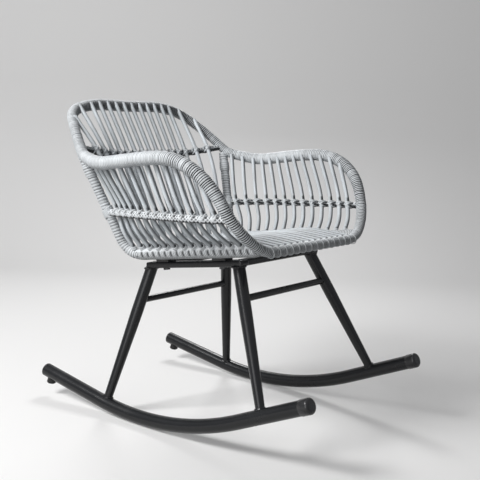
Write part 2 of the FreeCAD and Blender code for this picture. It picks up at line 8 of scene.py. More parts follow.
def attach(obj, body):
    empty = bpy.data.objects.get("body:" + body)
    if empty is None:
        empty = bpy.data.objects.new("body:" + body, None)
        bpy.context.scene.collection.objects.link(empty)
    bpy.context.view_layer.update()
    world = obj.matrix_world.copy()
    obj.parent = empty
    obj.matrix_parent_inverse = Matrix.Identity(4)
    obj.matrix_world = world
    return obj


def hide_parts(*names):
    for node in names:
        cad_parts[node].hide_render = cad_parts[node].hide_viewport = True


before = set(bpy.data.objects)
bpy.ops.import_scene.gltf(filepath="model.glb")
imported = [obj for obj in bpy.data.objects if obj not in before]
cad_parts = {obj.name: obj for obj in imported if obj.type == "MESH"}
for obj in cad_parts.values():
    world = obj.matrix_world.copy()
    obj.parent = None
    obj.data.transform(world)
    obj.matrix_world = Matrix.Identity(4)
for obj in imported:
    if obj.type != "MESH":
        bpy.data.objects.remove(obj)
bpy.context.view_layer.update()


# Rockers: two lengths of round steel tube, bent to a long arc with a straight run at each end.
# Black powder coat over the whole welded base. They carry the legs and roll on the floor.

MM = 0.001
SIDES = {"left": 1, "right": -1}
ROCKER_RADIUS = 14.85 * MM
ROCKER_BEND = 675 * MM
ROCKER_X = 210 * MM
CONTACT_Y = 70 * MM
FRONT_RISE = math.radians(23.4)
REAR_RISE = math.radians(9.4)
ROCKER_ENDS_Y = (-356.5 * MM, 364 * MM)
ROCKER_RINGS = 161
TUBE_SIDES = 40
COAT_BLACK = (0.008, 0.0085, 0.0095, 1)
COAT_GREY = (0.018, 0.019, 0.021, 1)
COAT_ROUGHNESS = (0.18, 0.32)
SMUDGE_SCALE = 14.0
DUST_FACING = (0.2, 1.0)
DUST_COVER = (0.1, 0.7)


def unit(vectors):
    """Vectors of length one."""
    return vectors / np.linalg.norm(vectors, axis=-1, keepdims=True)


def distances(path):
    """Distance along a path at each of its points: the running sum of its steps."""
    return np.concatenate(([0], np.cumsum(np.linalg.norm(np.diff(path, axis=0), axis=1))))


def carry(path, up, along, turn, radius):
    """A surface carried along a path: the path's point at a distance along it, plus radius times
    cosine and sine of the turn in the two directions square to the path, the second nearest to up."""
    along, turn, radius = np.broadcast_arrays(along, turn, radius)
    reach = distances(path)
    ahead = unit(np.gradient(path, reach, axis=0))
    side = unit(np.cross(ahead, up))
    top = np.cross(side, ahead)

    def at(values):
        """One vector for each point of the path, read off at each distance along it."""
        return np.stack([np.interp(along, reach, values[:, axis]) for axis in range(3)], axis=-1)

    outward = np.cos(turn)[..., None] * at(side) + np.sin(turn)[..., None] * at(top)
    return at(path) + radius[..., None] * outward


def around(sides):
    """Even turns round a full circle, without its end."""
    return np.arange(sides) * 2 * np.pi / sides


def sleeve_faces(rows, sides, first):
    """Quads between neighbouring rings of a grid and one flat face over each end, facing outwards."""
    row, column = np.meshgrid(np.arange(rows - 1), np.arange(sides), indexing="ij")
    following = (column + 1) % sides
    quads = np.stack([row * sides + column, (row + 1) * sides + column,
                      (row + 1) * sides + following, row * sides + following], axis=-1).reshape(-1, 4)
    ends = [np.arange(sides), (rows - 1) * sides + np.arange(sides)[::-1]]
    return [(face + first).tolist() for face in quads] + [(end + first).tolist() for end in ends]


def tube(path, up, radius, sides, rows):
    """Even rings along a path; radius is one number or one for each ring."""
    along = np.linspace(0, distances(path)[-1], rows)[:, None]
    return carry(path, up, along, around(sides)[None, :], np.broadcast_to(radius, rows)[:, None])


def gathered(grids, faces_of=sleeve_faces):
    """Several closed grids as one list of points and one of faces."""
    faces = []
    first = 0
    for grid in grids:
        rows, sides = grid.shape[:2]
        faces += faces_of(rows, sides, first)
        first += rows * sides
    return np.concatenate([grid.reshape(-1, 3) for grid in grids]), faces


def make_piece(name, points, faces, material, slot, nodes=(), sharp=40):
    """A mesh object at the origin that rides on the chair and stands for the named plain solids."""
    mesh = bpy.data.meshes.new(name)
    mesh.from_pydata(points, [], faces)
    mesh.shade_smooth()
    mesh.set_sharp_from_angle(angle=math.radians(sharp))
    mesh.materials.append(material)
    piece = bpy.data.objects.new(name, mesh)
    bpy.context.scene.collection.objects.link(piece)
    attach(piece, "root")
    if nodes:
        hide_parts(*nodes)
    return piece


def new_group(name, inputs, outputs):
    """An empty shader node group with its named sockets, and its input and output nodes."""
    group = bpy.data.node_groups.new(name, "ShaderNodeTree")
    for title, kind in inputs:
        group.interface.new_socket(title, in_out="INPUT", socket_type=kind)
    for title, kind in outputs:
        group.interface.new_socket(title, in_out="OUTPUT", socket_type=kind)
    return group, group.nodes.new("NodeGroupInput"), group.nodes.new("NodeGroupOutput")


def feed(tree, source, socket):
    """Link a source socket to an input, or set the input to a value."""
    if isinstance(source, bpy.types.NodeSocket):
        tree.links.new(source, socket)
    else:
        socket.default_value = source


def mixed(tree, factor, first, second):
    """A colour mix; factor and colours are sockets or values."""
    mix = tree.nodes.new("ShaderNodeMix")
    mix.data_type = "RGBA"
    for index, source in ((0, factor), (6, first), (7, second)):
        feed(tree, source, mix.inputs[index])
    return mix.outputs[2]


def worked(tree, operation, first, second, clamp=False):
    """Two value sockets put together by a sum, a product or a maximum."""
    node = tree.nodes.new("ShaderNodeMath")
    node.operation = operation
    node.use_clamp = clamp
    tree.links.new(first, node.inputs[0])
    tree.links.new(second, node.inputs[1])
    return node.outputs[0]


def ranged(tree, value, low, high, to_low=0.0, to_high=1.0):
    """A value moved from one range to another, clamped."""
    node = tree.nodes.new("ShaderNodeMapRange")
    tree.links.new(value, node.inputs["Value"])
    for title, number in (("From Min", low), ("From Max", high), ("To Min", to_low), ("To Max", to_high)):
        node.inputs[title].default_value = number
    return node.outputs["Result"]


def noise(tree, vector, scale, detail, roughness):
    """A noise texture's value on a vector socket."""
    node = tree.nodes.new("ShaderNodeTexNoise")
    for title, source in (("Vector", vector), ("Scale", scale), ("Detail", detail), ("Roughness", roughness)):
        feed(tree, source, node.inputs[title])
    return node.outputs["Fac"]


# One group for every black finish: a fine pebble, and dust that greys faces turned upwards
black_finish, group_in, group_out = new_group(
    "black_finish",
    [("Black", "NodeSocketColor"), ("Dust", "NodeSocketColor"), ("Pebble", "NodeSocketFloat")],
    [("Color", "NodeSocketColor"), ("Roughness", "NodeSocketFloat"), ("Height", "NodeSocketFloat")],
)
place = black_finish.nodes.new("ShaderNodeTexCoord").outputs["Object"]
pebble = noise(black_finish, place, group_in.outputs["Pebble"], 2.0, 0.5)
smudge = noise(black_finish, place, SMUDGE_SCALE, 4.0, 0.6)
facing = black_finish.nodes.new("ShaderNodeNewGeometry").outputs["Normal"]
upright = black_finish.nodes.new("ShaderNodeSeparateXYZ")
black_finish.links.new(facing, upright.inputs[0])
dusty = worked(black_finish, "MULTIPLY", ranged(black_finish, upright.outputs["Z"], *DUST_FACING),
               ranged(black_finish, smudge, 0.35, 0.75, *DUST_COVER))
black_finish.links.new(mixed(black_finish, dusty, group_in.outputs["Black"], group_in.outputs["Dust"]),
                       group_out.inputs["Color"])
black_finish.links.new(ranged(black_finish, smudge, 0.3, 0.8, *COAT_ROUGHNESS), group_out.inputs["Roughness"])
black_finish.links.new(pebble, group_out.inputs["Height"])


def finished(name, group, values, bump, depth, shine=0.5):
    """A material whose colour, roughness and bump come from one of the finish groups."""
    material = bpy.data.materials.new(name)
    material.use_nodes = True
    tree = material.node_tree
    shader = tree.nodes["Principled BSDF"]
    shader.inputs["Specular IOR Level"].default_value = shine
    finish = tree.nodes.new("ShaderNodeGroup")
    finish.node_tree = group
    for title, value in values.items():
        finish.inputs[title].default_value = value
    relief = tree.nodes.new("ShaderNodeBump")
    relief.inputs["Strength"].default_value = bump
    relief.inputs["Distance"].default_value = depth
    tree.links.new(finish.outputs["Color"], shader.inputs["Base Color"])
    tree.links.new(finish.outputs["Roughness"], shader.inputs["Roughness"])
    tree.links.new(finish.outputs["Height"], relief.inputs["Height"])
    tree.links.new(relief.outputs["Normal"], shader.inputs["Normal"])
    return material


powder_coat = finished("powder_coat", black_finish, {"Black": COAT_BLACK, "Dust": COAT_GREY, "Pebble": 900.0},
                       bump=0.12, depth=0.4 * MM, shine=0.34)

X_AXIS = np.array([1.0, 0.0, 0.0])
Y_AXIS = np.array([0.0, 1.0, 0.0])
Z_AXIS = np.array([0.0, 0.0, 1.0])


def rocker_point(side, y):
    """A rocker's axis at y: a circle over the floor contact, then straight on at the end slopes."""
    y = np.asarray(y, dtype=float)
    swing = np.clip(np.arcsin((y - CONTACT_Y) / ROCKER_BEND), -FRONT_RISE, REAR_RISE)
    z = ROCKER_RADIUS + ROCKER_BEND * (1 - np.cos(swing))
    z = z + (y - CONTACT_Y - ROCKER_BEND * np.sin(swing)) * np.tan(swing)
    return np.stack([np.full_like(y, side * ROCKER_X), y, z], axis=-1)


def steel_piece(name, shape, node):
    """One closed shape of the welded base, under the black coat."""
    make_piece(name, *gathered([shape]), powder_coat, "frame_black", [node])


for hand, side in SIDES.items():
    line = rocker_point(side, np.linspace(*ROCKER_ENDS_Y, ROCKER_RINGS))
    shape = tube(line, X_AXIS, ROCKER_RADIUS, TUBE_SIDES, ROCKER_RINGS)
    steel_piece(f"{hand}_rocker_tube", shape, f"{hand}_rocker")


# Rocker ends: a blunt plastic cap slipped over each front end, a flat plug in each rear end,
# and a rubber stop screwed under the rear end that keeps the chair from tipping back.

CAP_RADIUS = 15.9 * MM
CAP_SKIRT = 15 * MM
CAP_DOME = 9 * MM
CAP_ROUND = 6.5 * MM
CAP_LIP = (0.6 * MM, 0.5 * MM)
CAP_PEAK = 0.3 * MM
PLUG_FLANGE = 3 * MM
PLUG_EDGE = np.array([(-4, 0), (-0.8, 0.1), (-0.2, -0.4), (0, -1.2)]) * MM
STOP_RADIUS = 11 * MM
STOP_NECK = 9.5 * MM
STOP_DROP = 10 * MM
STOP_EDGE = np.array([(-7, -1.2), (-4, 0), (-2, -0.5), (-0.6, -1.9), (0, -4)]) * MM
STOP_INSET = 18 * MM
TIP = 0.5 * MM
PLASTIC_BLACK = (0.016, 0.016, 0.017, 1)
PLASTIC_GREY = (0.04, 0.04, 0.042, 1)
RUBBER_BLACK = (0.02, 0.0198, 0.0195, 1)

moulded_plastic = finished("moulded_plastic", black_finish,
                           {"Black": PLASTIC_BLACK, "Dust": PLASTIC_GREY, "Pebble": 1600.0},
                           bump=0.2, depth=0.3 * MM, shine=0.4)
stop_rubber = finished("stop_rubber", black_finish,
                       {"Black": RUBBER_BLACK, "Dust": PLASTIC_GREY, "Pebble": 700.0},
                       bump=0.25, depth=0.4 * MM, shine=0.25)


def turned(base, ahead, profile):
    """A body turned about an axis: rings of each profile radius at each profile height from base."""
    heights, radii = profile.T
    line = base + np.linspace(heights[0], heights[-1], 3)[:, None] * ahead
    return carry(line, X_AXIS, (heights - heights[0])[:, None], around(TUBE_SIDES)[None, :], radii[:, None])


# Profiles: heights along each axis and the radius there, closed by a ring as small as the tip
quarter = np.linspace(0, np.pi / 2, 9)
cap_skirt = [(-CAP_SKIRT, ROCKER_RADIUS), (-CAP_SKIRT, CAP_RADIUS - CAP_LIP[1]),
             (-CAP_SKIRT + CAP_LIP[0], CAP_RADIUS)]
cap_edge = np.stack([CAP_DOME - CAP_ROUND * (1 - np.sin(quarter)),
                     CAP_RADIUS - CAP_ROUND * (1 - np.cos(quarter))], axis=-1)
cap_profile = np.concatenate([cap_skirt, cap_edge, [(CAP_DOME + CAP_PEAK, TIP)]])
plug_profile = np.concatenate([PLUG_EDGE + (PLUG_FLANGE, ROCKER_RADIUS), [(PLUG_FLANGE, TIP)]])
stop_foot = ROCKER_RADIUS + STOP_DROP
stop_profile = np.concatenate([[(0, STOP_NECK)], STOP_EDGE + (stop_foot, STOP_RADIUS), [(stop_foot, TIP)]])
caps = []
plugs = {}
stops = []
for hand, side in SIDES.items():
    front_end, rear_end = rocker_point(side, np.array(ROCKER_ENDS_Y))
    forward = np.array([0, -math.cos(FRONT_RISE), math.sin(FRONT_RISE)])
    rearward = np.array([0, math.cos(REAR_RISE), math.sin(REAR_RISE)])
    downward = np.array([0, math.sin(REAR_RISE), -math.cos(REAR_RISE)])
    caps.append(turned(front_end, forward, cap_profile))
    plugs[hand] = turned(rear_end, rearward, plug_profile)
    stops.append(turned(rear_end - rearward * STOP_INSET, downward, stop_profile))
make_piece("front_dome_caps", *gathered(caps), moulded_plastic, "plastic_black", ["front_caps"])
make_piece("rear_stop_knobs", *gathered(stops), stop_rubber, "rubber_black", ["rear_stops"])
for hand, plug in plugs.items():
    make_piece(f"{hand}_rear_end_plug", *gathered([plug]), moulded_plastic, "frame_black",
               [f"{hand}_rear_plug"])


# Seat frame: two side bars and two cross bars of flat tube, welded into a flat frame that slopes
# back with the seat. Plastic plugs with rounded noses close the side bars' open ends.

SEAT_PITCH = math.radians(8.4)
FRAME_LEVEL = 343.4 * MM
BAR_X = 128 * MM
BAR_WIDTH = 28 * MM
BAR_HEIGHT = 13.5 * MM
BAR_ROUND = 3.4 * MM
BAR_ENDS = {"front": -136 * MM, "rear": 121 * MM}
PLUG_NOSE = 5.5 * MM
NOSE_SWING = 0.46 * np.pi
LEG_ALONG = {"front": -122.5 * MM, "rear": 117 * MM}
SLOPE_AHEAD = np.array([0, math.cos(SEAT_PITCH), -math.sin(SEAT_PITCH)])
SLOPE_UP = np.array([0, math.sin(SEAT_PITCH), math.cos(SEAT_PITCH)])


def seat_point(x, along, above):
    """A point in the seat's sloping plane: x across, a distance along the slope and one square to it."""
    x, along, above = np.broadcast_arrays(x, along, above)
    flat = x[..., None] * X_AXIS + along[..., None] * SLOPE_AHEAD + above[..., None] * SLOPE_UP
    return flat + FRAME_LEVEL * Z_AXIS


def flat_bar(start, end, along=(0, 1), keep=(1, 1)):
    """A bar with a rounded rectangular section: four quarter circles of the corners' radius, carried from
    start to end. At each share along it keeps a share of its height and is as much narrower."""
    quarter_turns = np.linspace(0, np.pi / 2, 6)
    turns = np.concatenate([quarter_turns + quadrant * np.pi / 2 for quadrant in range(4)])
    signs = np.repeat([(1, 1), (-1, 1), (-1, -1), (1, -1)], len(quarter_turns), axis=0)
    half = np.array([BAR_WIDTH, BAR_HEIGHT]) / 2 - BAR_ROUND
    section = signs * half + BAR_ROUND * np.stack([np.cos(turns), np.sin(turns)], axis=-1)
    ahead = end - start
    side = unit(np.cross(ahead, SLOPE_UP))
    top = unit(np.cross(side, ahead))
    along, keep = np.array(along)[:, None], np.array(keep)[:, None]
    narrow = section[:, 0] - (1 - keep) * np.sign(section[:, 0]) * BAR_HEIGHT / 2
    low = section[:, 1] * keep
    return start + along[..., None] * ahead + narrow[..., None] * side + low[..., None] * top


nose_turn = np.linspace(0, NOSE_SWING, 8)
for hand, side in SIDES.items():
    ends = seat_point(side * BAR_X, np.array(list(BAR_ENDS.values())), 0.0)
    bar = flat_bar(ends[0], ends[1])
    steel_piece(f"{hand}_frame_bar", bar, f"{hand}_side_bar")
    for end, sign in (("front", -1), ("rear", 1)):
        spots = seat_point(side * BAR_X, BAR_ENDS[end] + sign * np.array([0, PLUG_NOSE]), 0.0)
        plug = flat_bar(spots[0], spots[1], np.sin(nose_turn), np.cos(nose_turn))
        make_piece(f"{hand}_{end}_bar_end", *gathered([plug]), moulded_plastic, "plastic_black",
                   [f"{hand}_{end}_bar_plug"])
for end, along in LEG_ALONG.items():
    ends = seat_point(np.array([-1, 1]) * (BAR_X - BAR_WIDTH / 2), along, 0.0)
    bar = flat_bar(ends[0], ends[1])
    steel_piece(f"{end}_frame_bar", bar, f"{end}_cross_bar")


# Legs: tapered steel tubes from the side bars down and outwards to the rockers, coped and welded
# at both ends, with a thinner stretcher welded between each pair.

LEG_TOP = 13 * MM
LEG_FOOT = 9 * MM
LEG_TAPER = 0.65
FOOT_Y = {"front": -253 * MM, "rear": 167 * MM}
STRETCHER_RADIUS = 7.2 * MM
STRETCHER_SHARE = {"front": 0.755, "rear": 0.744}
LEG_RINGS = 61
LEG_SIDES = 36
STRETCHER_SIDES = 28
BEAD_RADIUS = 2.7 * MM
BEAD_RIPPLE = 0.14
BEAD_PACE = 2.1
BEAD_SIDES = 8
BEAD_STEPS = 48
WELD_REACH = 60 * MM
WELD_GROWTH = 0.9 * MM
WELD_ROWS = 121
WELD_DROP = 0.4 * MM


def bead_round(line):
    """A bead laid along a closed line: a thin tube whose radius ripples as a weld's does."""
    ahead = unit(np.roll(line, -1, axis=0) - np.roll(line, 1, axis=0))
    outward = unit(line - line.mean(axis=0))
    over = np.cross(ahead, outward)
    turn = around(BEAD_SIDES)[None, :, None]
    thick = BEAD_RADIUS * (1 + BEAD_RIPPLE * np.sin(np.arange(len(line)) * BEAD_PACE))[:, None, None]
    return line[:, None, :] + thick * (np.cos(turn) * outward[:, None, :] + np.sin(turn) * over[:, None, :])


def hoop_faces(rows, sides, first):
    """Quads of a grid that closes both ways."""
    row, column = np.meshgrid(np.arange(rows), np.arange(sides), indexing="ij")
    below, following = (row + 1) % rows, (column + 1) % sides
    quads = np.stack([row * sides + column, row * sides + following,
                      below * sides + following, below * sides + column], axis=-1).reshape(-1, 4)
    return (quads + first).tolist()


beads = []
for end, along in LEG_ALONG.items():
    joints = []
    for hand, side in SIDES.items():
        foot = rocker_point(side, FOOT_Y[end])
        top = seat_point(side * BAR_X, along, 0.0)
        leg = np.linspace(foot, top, 30)
        radius = np.interp(np.linspace(0, 1, LEG_RINGS), [0, LEG_TAPER, 1], [LEG_FOOT, LEG_TOP, LEG_TOP])
        shape = tube(leg, X_AXIS, radius, LEG_SIDES, LEG_RINGS)
        steel_piece(f"{end}_{hand}_leg_tube", shape, f"{end}_{hand}_leg")
        joints.append(foot + (top - foot) * STRETCHER_SHARE[end])

        # Weld where the leg meets the rocker: on each line down the leg, the place whose distance
        # from the rocker's axis is the rocker's radius
        behind, before = rocker_point(side, FOOT_Y[end] + np.array([5, -5]) * MM)
        heading = unit(behind - before)
        bead_turn = around(BEAD_STEPS)
        lines = carry(leg, X_AXIS, np.linspace(0, WELD_REACH, WELD_ROWS)[:, None], bead_turn[None, :],
                      np.linspace(LEG_FOOT, LEG_FOOT + WELD_GROWTH, WELD_ROWS)[:, None])
        off_axis = lines - foot
        off_axis = off_axis - (off_axis @ heading)[..., None] * heading
        nearest = np.abs(np.linalg.norm(off_axis, axis=-1) - ROCKER_RADIUS).argmin(axis=0)
        beads.append(bead_round(lines[nearest, np.arange(BEAD_STEPS)]))

        # Weld under the bar: a ring where the leg meets the bar's lower face
        upward = unit(top - foot)
        share = 1 - (BAR_HEIGHT / 2 + WELD_DROP) / ((top - foot) @ SLOPE_UP)
        ring = carry(leg, X_AXIS, share * distances(leg)[-1], bead_turn, LEG_TOP)
        drop = ((ring - seat_point(0.0, 0.0, -BAR_HEIGHT / 2)) @ SLOPE_UP) / (upward @ SLOPE_UP)
        beads.append(bead_round(ring - drop[:, None] * upward))
    stretcher = tube(np.linspace(joints[0], joints[1], 3), Z_AXIS, STRETCHER_RADIUS, STRETCHER_SIDES, 3)
    steel_piece(f"{end}_stretcher_tube", stretcher, f"{end}_stretcher")
make_piece("weld_beads", *gathered(beads, hoop_faces), powder_coat, "frame_black")


# Saddles and bolts: moulded black blocks that cradle the seat poles on the side bars, each held
# by a bolt from below. These solids stay as they are and get the base's finishes.

for end in LEG_ALONG:
    for hand in SIDES:
        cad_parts[f"{end}_{hand}_saddle"].material_slots[0].material = moulded_plastic
        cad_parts[f"{end}_{hand}_bolt"].material_slots[0].material = powder_coat


# Side poles: on each side one cane pole is the seat's side and, bent up, the rear post.
# It is wound from end to end with split cane strip, greyed with a thin white wash, and its
# front end is let into the rim. Under the seat's edging it is a little thinner.

SHELL_ABOVE = 28.5 * MM
POLE_RADIUS = 11 * MM
POLE_X = 180 * MM
SIDE_ALONG = (-222 * MM, 138 * MM)
SIDE_BEND = 45 * MM
SIDE_EASE = 8 * MM
SIDE_TAPER = np.array([0, 16, 305, 325]) * MM
SIDE_KEEP = (0.6, 0.88, 0.88, 1)
POST_TOP = np.array([240, 227, 563]) * MM
POST_STRIP = 6.6 * MM
POST_OPEN = 0.75
STRIP_ACROSS = np.array([0.0, 0.14, 0.34, 0.68, 0.86])
STRIP_HEIGHT = np.array([-0.8, -0.4, 0.3, 0.3, -0.4]) * MM
GAP_DEEP = 0.8 * MM
STRIP_SUNK = 0.4 * MM
STRIP_PLAY = 0.2 * MM
STRIP_STRAY = 0.09
STRIP_LOOSE = 0.35
LOOSE_LIMITS = (0.3, 1.6)
STREAK_SCALE = (30, 1400, 1400)
PATCH_SCALE = (14, 60, 60)
CANE_ROUGHNESS = (0.62, 0.46)
CANE_RELIEF = 0.3 * MM
WASH = (0.672, 0.702, 0.725, 1)
BARE_CANE = (0.325, 0.33, 0.33, 1)
# Near-black colour painted where shade falls: in gaps, slits and holes and on shaded sides.
PAINTED_SHADE = (0.026, 0.028, 0.031, 1)
random = np.random.default_rng(seed=7)

# One group for all cane: streaks run with the fibre and the wash lies unevenly. One attribute holds a
# distance along the fibre and a place across it;
# the other holds painted shade, the share by which the colour goes to a near-black shade colour in gaps,
# slits and holes and on shaded sides.
washed_cane, group_in, group_out = new_group(
    "washed_cane",
    [("Wash", "NodeSocketColor"), ("Cane", "NodeSocketColor"), ("Painted Shade", "NodeSocketColor"),
     ("Cover", "NodeSocketFloat")],
    [("Color", "NodeSocketColor"), ("Roughness", "NodeSocketFloat"), ("Height", "NodeSocketFloat")],
)


def attribute(tree, name):
    """The node that reads a piece's own attribute."""
    node = tree.nodes.new("ShaderNodeAttribute")
    node.attribute_name = name
    return node


def scaled(tree, vector, scale):
    """A vector socket times a fixed vector."""
    node = tree.nodes.new("ShaderNodeVectorMath")
    node.operation = "MULTIPLY"
    tree.links.new(vector, node.inputs[0])
    node.inputs[1].default_value = scale
    return node.outputs[0]


fibre = attribute(washed_cane, "fibre").outputs["Vector"]
painted_shade = attribute(washed_cane, "painted_shade").outputs["Fac"]
streak = noise(washed_cane, scaled(washed_cane, fibre, STREAK_SCALE), 1.0, 4.0, 0.65)
patch = noise(washed_cane, scaled(washed_cane, fibre, PATCH_SCALE), 1.0, 3.0, 0.55)
uneven = worked(washed_cane, "ADD", ranged(washed_cane, streak, 0.3, 0.7, -0.35, 0.35),
                ranged(washed_cane, patch, 0.25, 0.75, -0.3, 0.3))
cover = worked(washed_cane, "ADD", uneven, group_in.outputs["Cover"], clamp=True)
coloured = mixed(washed_cane, cover, group_in.outputs["Cane"], group_in.outputs["Wash"])
# Painted shade: the colour is drawn to the near-black shade colour by the painted shade attribute.
washed_cane.links.new(mixed(washed_cane, painted_shade, coloured, group_in.outputs["Painted Shade"]), group_out.inputs["Color"])
washed_cane.links.new(ranged(washed_cane, streak, 0.3, 0.7, *CANE_ROUGHNESS), group_out.inputs["Roughness"])
washed_cane.links.new(streak, group_out.inputs["Height"])

wound_strip = finished("wound_strip", washed_cane,
                       {"Wash": WASH, "Cane": BARE_CANE, "Painted Shade": PAINTED_SHADE, "Cover": 0.8},
                       bump=0.25, depth=CANE_RELIEF)


def set_fibre(piece, fibre_places, painted_shade_share):
    """Write the two attributes that the cane finishes read."""
    for name, kind, key, values in (("fibre", "FLOAT_VECTOR", "vector", fibre_places),
                                    ("painted_shade", "FLOAT", "value", painted_shade_share)):
        layer = piece.data.attributes.new(name, kind, "POINT")
        layer.data.foreach_set(key, np.ravel(values).astype(np.float32))


def evenly(path, spacing):
    """The same path with even steps."""
    reach = distances(path)
    along = np.linspace(0, reach[-1], int(reach[-1] / spacing) + 1)
    return np.stack([np.interp(along, reach, path[:, axis]) for axis in range(3)], axis=-1)


def bent_route(points, bends, ease):
    """Straight runs through the points, each inner corner rounded by an arc that touches both runs,
    then eased: every point becomes the mean of its neighbours within the ease distance."""
    pieces = [points[:1]]
    for before, corner, after, bend in zip(points, points[1:], points[2:], bends):
        back, ahead = unit(before - corner), unit(after - corner)
        half = (np.pi - np.arccos(back @ ahead)) / 2
        centre = corner + unit(back + ahead) * bend / np.cos(half)
        start = corner + back * bend * np.tan(half) - centre
        end = corner + ahead * bend * np.tan(half) - centre
        angle = np.linspace(0, 2 * half, 15)[:, None]
        pieces.append(centre + (np.sin(2 * half - angle) * start + np.sin(angle) * end) / np.sin(2 * half))
    pieces.append(points[-1:])
    step = 2 * MM
    path = evenly(np.concatenate(pieces), step)
    reach = max(1, round(ease / step))
    ends = [path[0] + (path[0] - path[1]) * np.arange(reach, 0, -1)[:, None],
            path[-1] + (path[-1] - path[-2]) * np.arange(1, reach + 1)[:, None]]
    padded = np.concatenate([ends[0], path, ends[1]])
    weights = np.ones(2 * reach + 1) / (2 * reach + 1)
    return np.stack([np.convolve(padded[:, axis], weights, "valid") for axis in range(3)], axis=-1)


def ramp(value, low, high):
    """0 below low, 1 above high and a straight rise between."""
    return np.clip((value - low) / (high - low), 0, 1)


def winding(path, up, radius, strip, gaps, closed=False, sides=20, side_shade=0.0):
    """Strip wound round a path. Each row of the grid runs with the strip: at a turn round the path it
    lies (row + turn / full circle) strips along, so that the edges are helices. Across the strip the
    radius follows STRIP_HEIGHT, low in the gaps and high on the strip's crown; the strip strays a little
    along the path, lies higher or lower and leaves wider or closer gaps from turn to turn. Radius and gaps,
    the share of the gaps' full depth, are one number or one for each point of the path, and so is the
    painted shade laid on the side across from turn 0. Returns points, faces, fibre places and painted
    shade: the gaps are painted dark by their depth, and that side by its share."""
    reach = distances(path)[-1]
    rows_each = len(STRIP_ACROSS)
    turns = round(reach / strip) - (0 if closed else 1)
    rows = turns * rows_each
    row = np.arange(rows)[:, None]
    turn = around(sides)[None, :]
    position = row // rows_each + STRIP_ACROSS[row % rows_each] + turn / (2 * np.pi)
    play, stray, loose = random.normal(0, (STRIP_PLAY, STRIP_STRAY * strip, STRIP_LOOSE), (turns + 2, 3)).T

    def by_turn(values):
        """One number for each turn of strip, read off at each position."""
        values = np.concatenate([values[:turns], values[:2]]) if closed else values
        return np.interp(position, np.arange(turns + 2), values)

    def by_place(values):
        """One number for each point of the path, or one for all, read off at each distance along it."""
        return np.interp(along, distances(path), np.broadcast_to(values, len(path)))

    along = position * reach / (turns if closed else turns + 1) + by_turn(stray)
    along = along % reach if closed else along
    thick = by_place(radius)
    height = STRIP_HEIGHT[row % rows_each]
    low = np.minimum(height, 0) * np.clip(1 + by_turn(loose), *LOOSE_LIMITS) * by_place(gaps)
    high = np.maximum(height, 0)
    grid = carry(path, up, along, turn, thick + low + high + by_turn(play))
    across = np.broadcast_to(STRIP_ACROSS[row % rows_each] * strip, position.shape)
    fibres = np.stack([position * 2 * np.pi * thick, across, np.zeros_like(position)], axis=-1)
    # Painted shade: the gaps are dark by their depth, and the side across from turn 0 by its share.
    painted_shades = np.clip(-low / GAP_DEEP + by_place(side_shade) * ramp(-np.cos(turn), 0.25, 0.875), 0, 1)

    # Faces: after a full turn each row meets the row that lies one strip further on
    row, column = np.meshgrid(np.arange(rows), np.arange(sides), indexing="ij")
    last = (column == sides - 1) * rows_each
    corners = np.stack([row * sides + column, (row + 1) * sides + column,
                        (row + 1 + last) * sides + (column + 1) % sides,
                        (row + last) * sides + (column + 1) % sides], axis=-1).reshape(-1, 4)
    if closed:
        return grid, (corners % (rows * sides)).tolist(), fibres, painted_shades

    # An open end is closed by one face along the outermost turn and the step where it starts or stops
    whole = corners[(corners < rows * sides).all(axis=1)].tolist()
    seam = [number * sides for number in range(rows_each, 0, -1)]
    first_end = list(range(sides)) + seam
    last_row = (rows - 1) * sides
    last_seam = [last_row - number * sides + sides - 1 for number in range(1, rows_each + 1)]
    last_end = list(range(last_row + sides - 1, last_row - 1, -1)) + last_seam[::-1]
    return grid, whole + [first_end, last_end], fibres, painted_shades


def wind(name, path, up, radius, strip, gaps, nodes, closed=False, sides=20, side_shade=0.0):
    """A wound pole as a finished piece."""
    grid, faces, fibres, painted_shades = winding(path, up, radius, strip, gaps, closed, sides, side_shade)
    piece = make_piece(name, grid.reshape(-1, 3), faces, wound_strip, "cane_wrap", nodes, 70)
    set_fibre(piece, fibres, painted_shades)


MIRROR = np.array([-1.0, 1.0, 1.0])
side_points = np.stack([seat_point(POLE_X, SIDE_ALONG[0], SHELL_ABOVE),
                        seat_point(POLE_X, SIDE_ALONG[1], SHELL_ABOVE), POST_TOP])
side_line = bent_route(side_points, [SIDE_BEND], SIDE_EASE)
side_girth = (POLE_RADIUS - STRIP_SUNK) * np.interp(distances(side_line), SIDE_TAPER, SIDE_KEEP)
for hand, side in SIDES.items():
    mirror = np.array([side, 1, 1])
    wind(f"{hand}_wound_side_pole", side_line * mirror, X_AXIS, side_girth, POST_STRIP, POST_OPEN,
         [f"{hand}_side_pole"])


# Rim: one pole bent into a closed hoop, the front rail, both arms and the back in one sweep, thin
# along the front and thick on the arms. It is wound with a narrower strip from end to end, close on
# the arms and more open on the bends, where the wider gaps also carry more painted shade; the crest's
# inner face is painted dark as shade.

RIM_POINTS = np.array([(0, -217, 397), (174, -217, 397), (237, -195, 446), (283, -132, 578), (271, 5, 569),
                       (277, 138, 549), (247, 216, 562), (225, 263, 605), (187, 328, 658), (108, 333, 673),
                       (0, 333, 671)]) * MM
RIM_BENDS = np.array([96, 151, 136, 389, 104, 61, 112, 69, 274]) * MM
RIM_EASE = 12 * MM
RIM_SIDES = 22
RIM_RADII = np.array([10.4, 10.4, 11.6, 13.8, 14.2, 14.2, 12, 11.4, 12.4, 13.3, 13.3]) * MM
RIM_STRIP = 4.4 * MM
# Gap shares along the rim; the gaps are painted dark by their depth, so wider gaps also add painted shade.
RIM_OPEN = np.array([1.9, 2.0, 2.0, 1.5, 0.42, 0.45, 0.9, 1.4, 1.4, 1.6, 1.6])
# Painted shade on the side across from turn 0, most on the crest's inner face.
RIM_SIDE_SHADE = np.array([0.1, 0.1, 0, 0, 0, 0, 0, 0.2, 0.5, 0.6, 0.6])

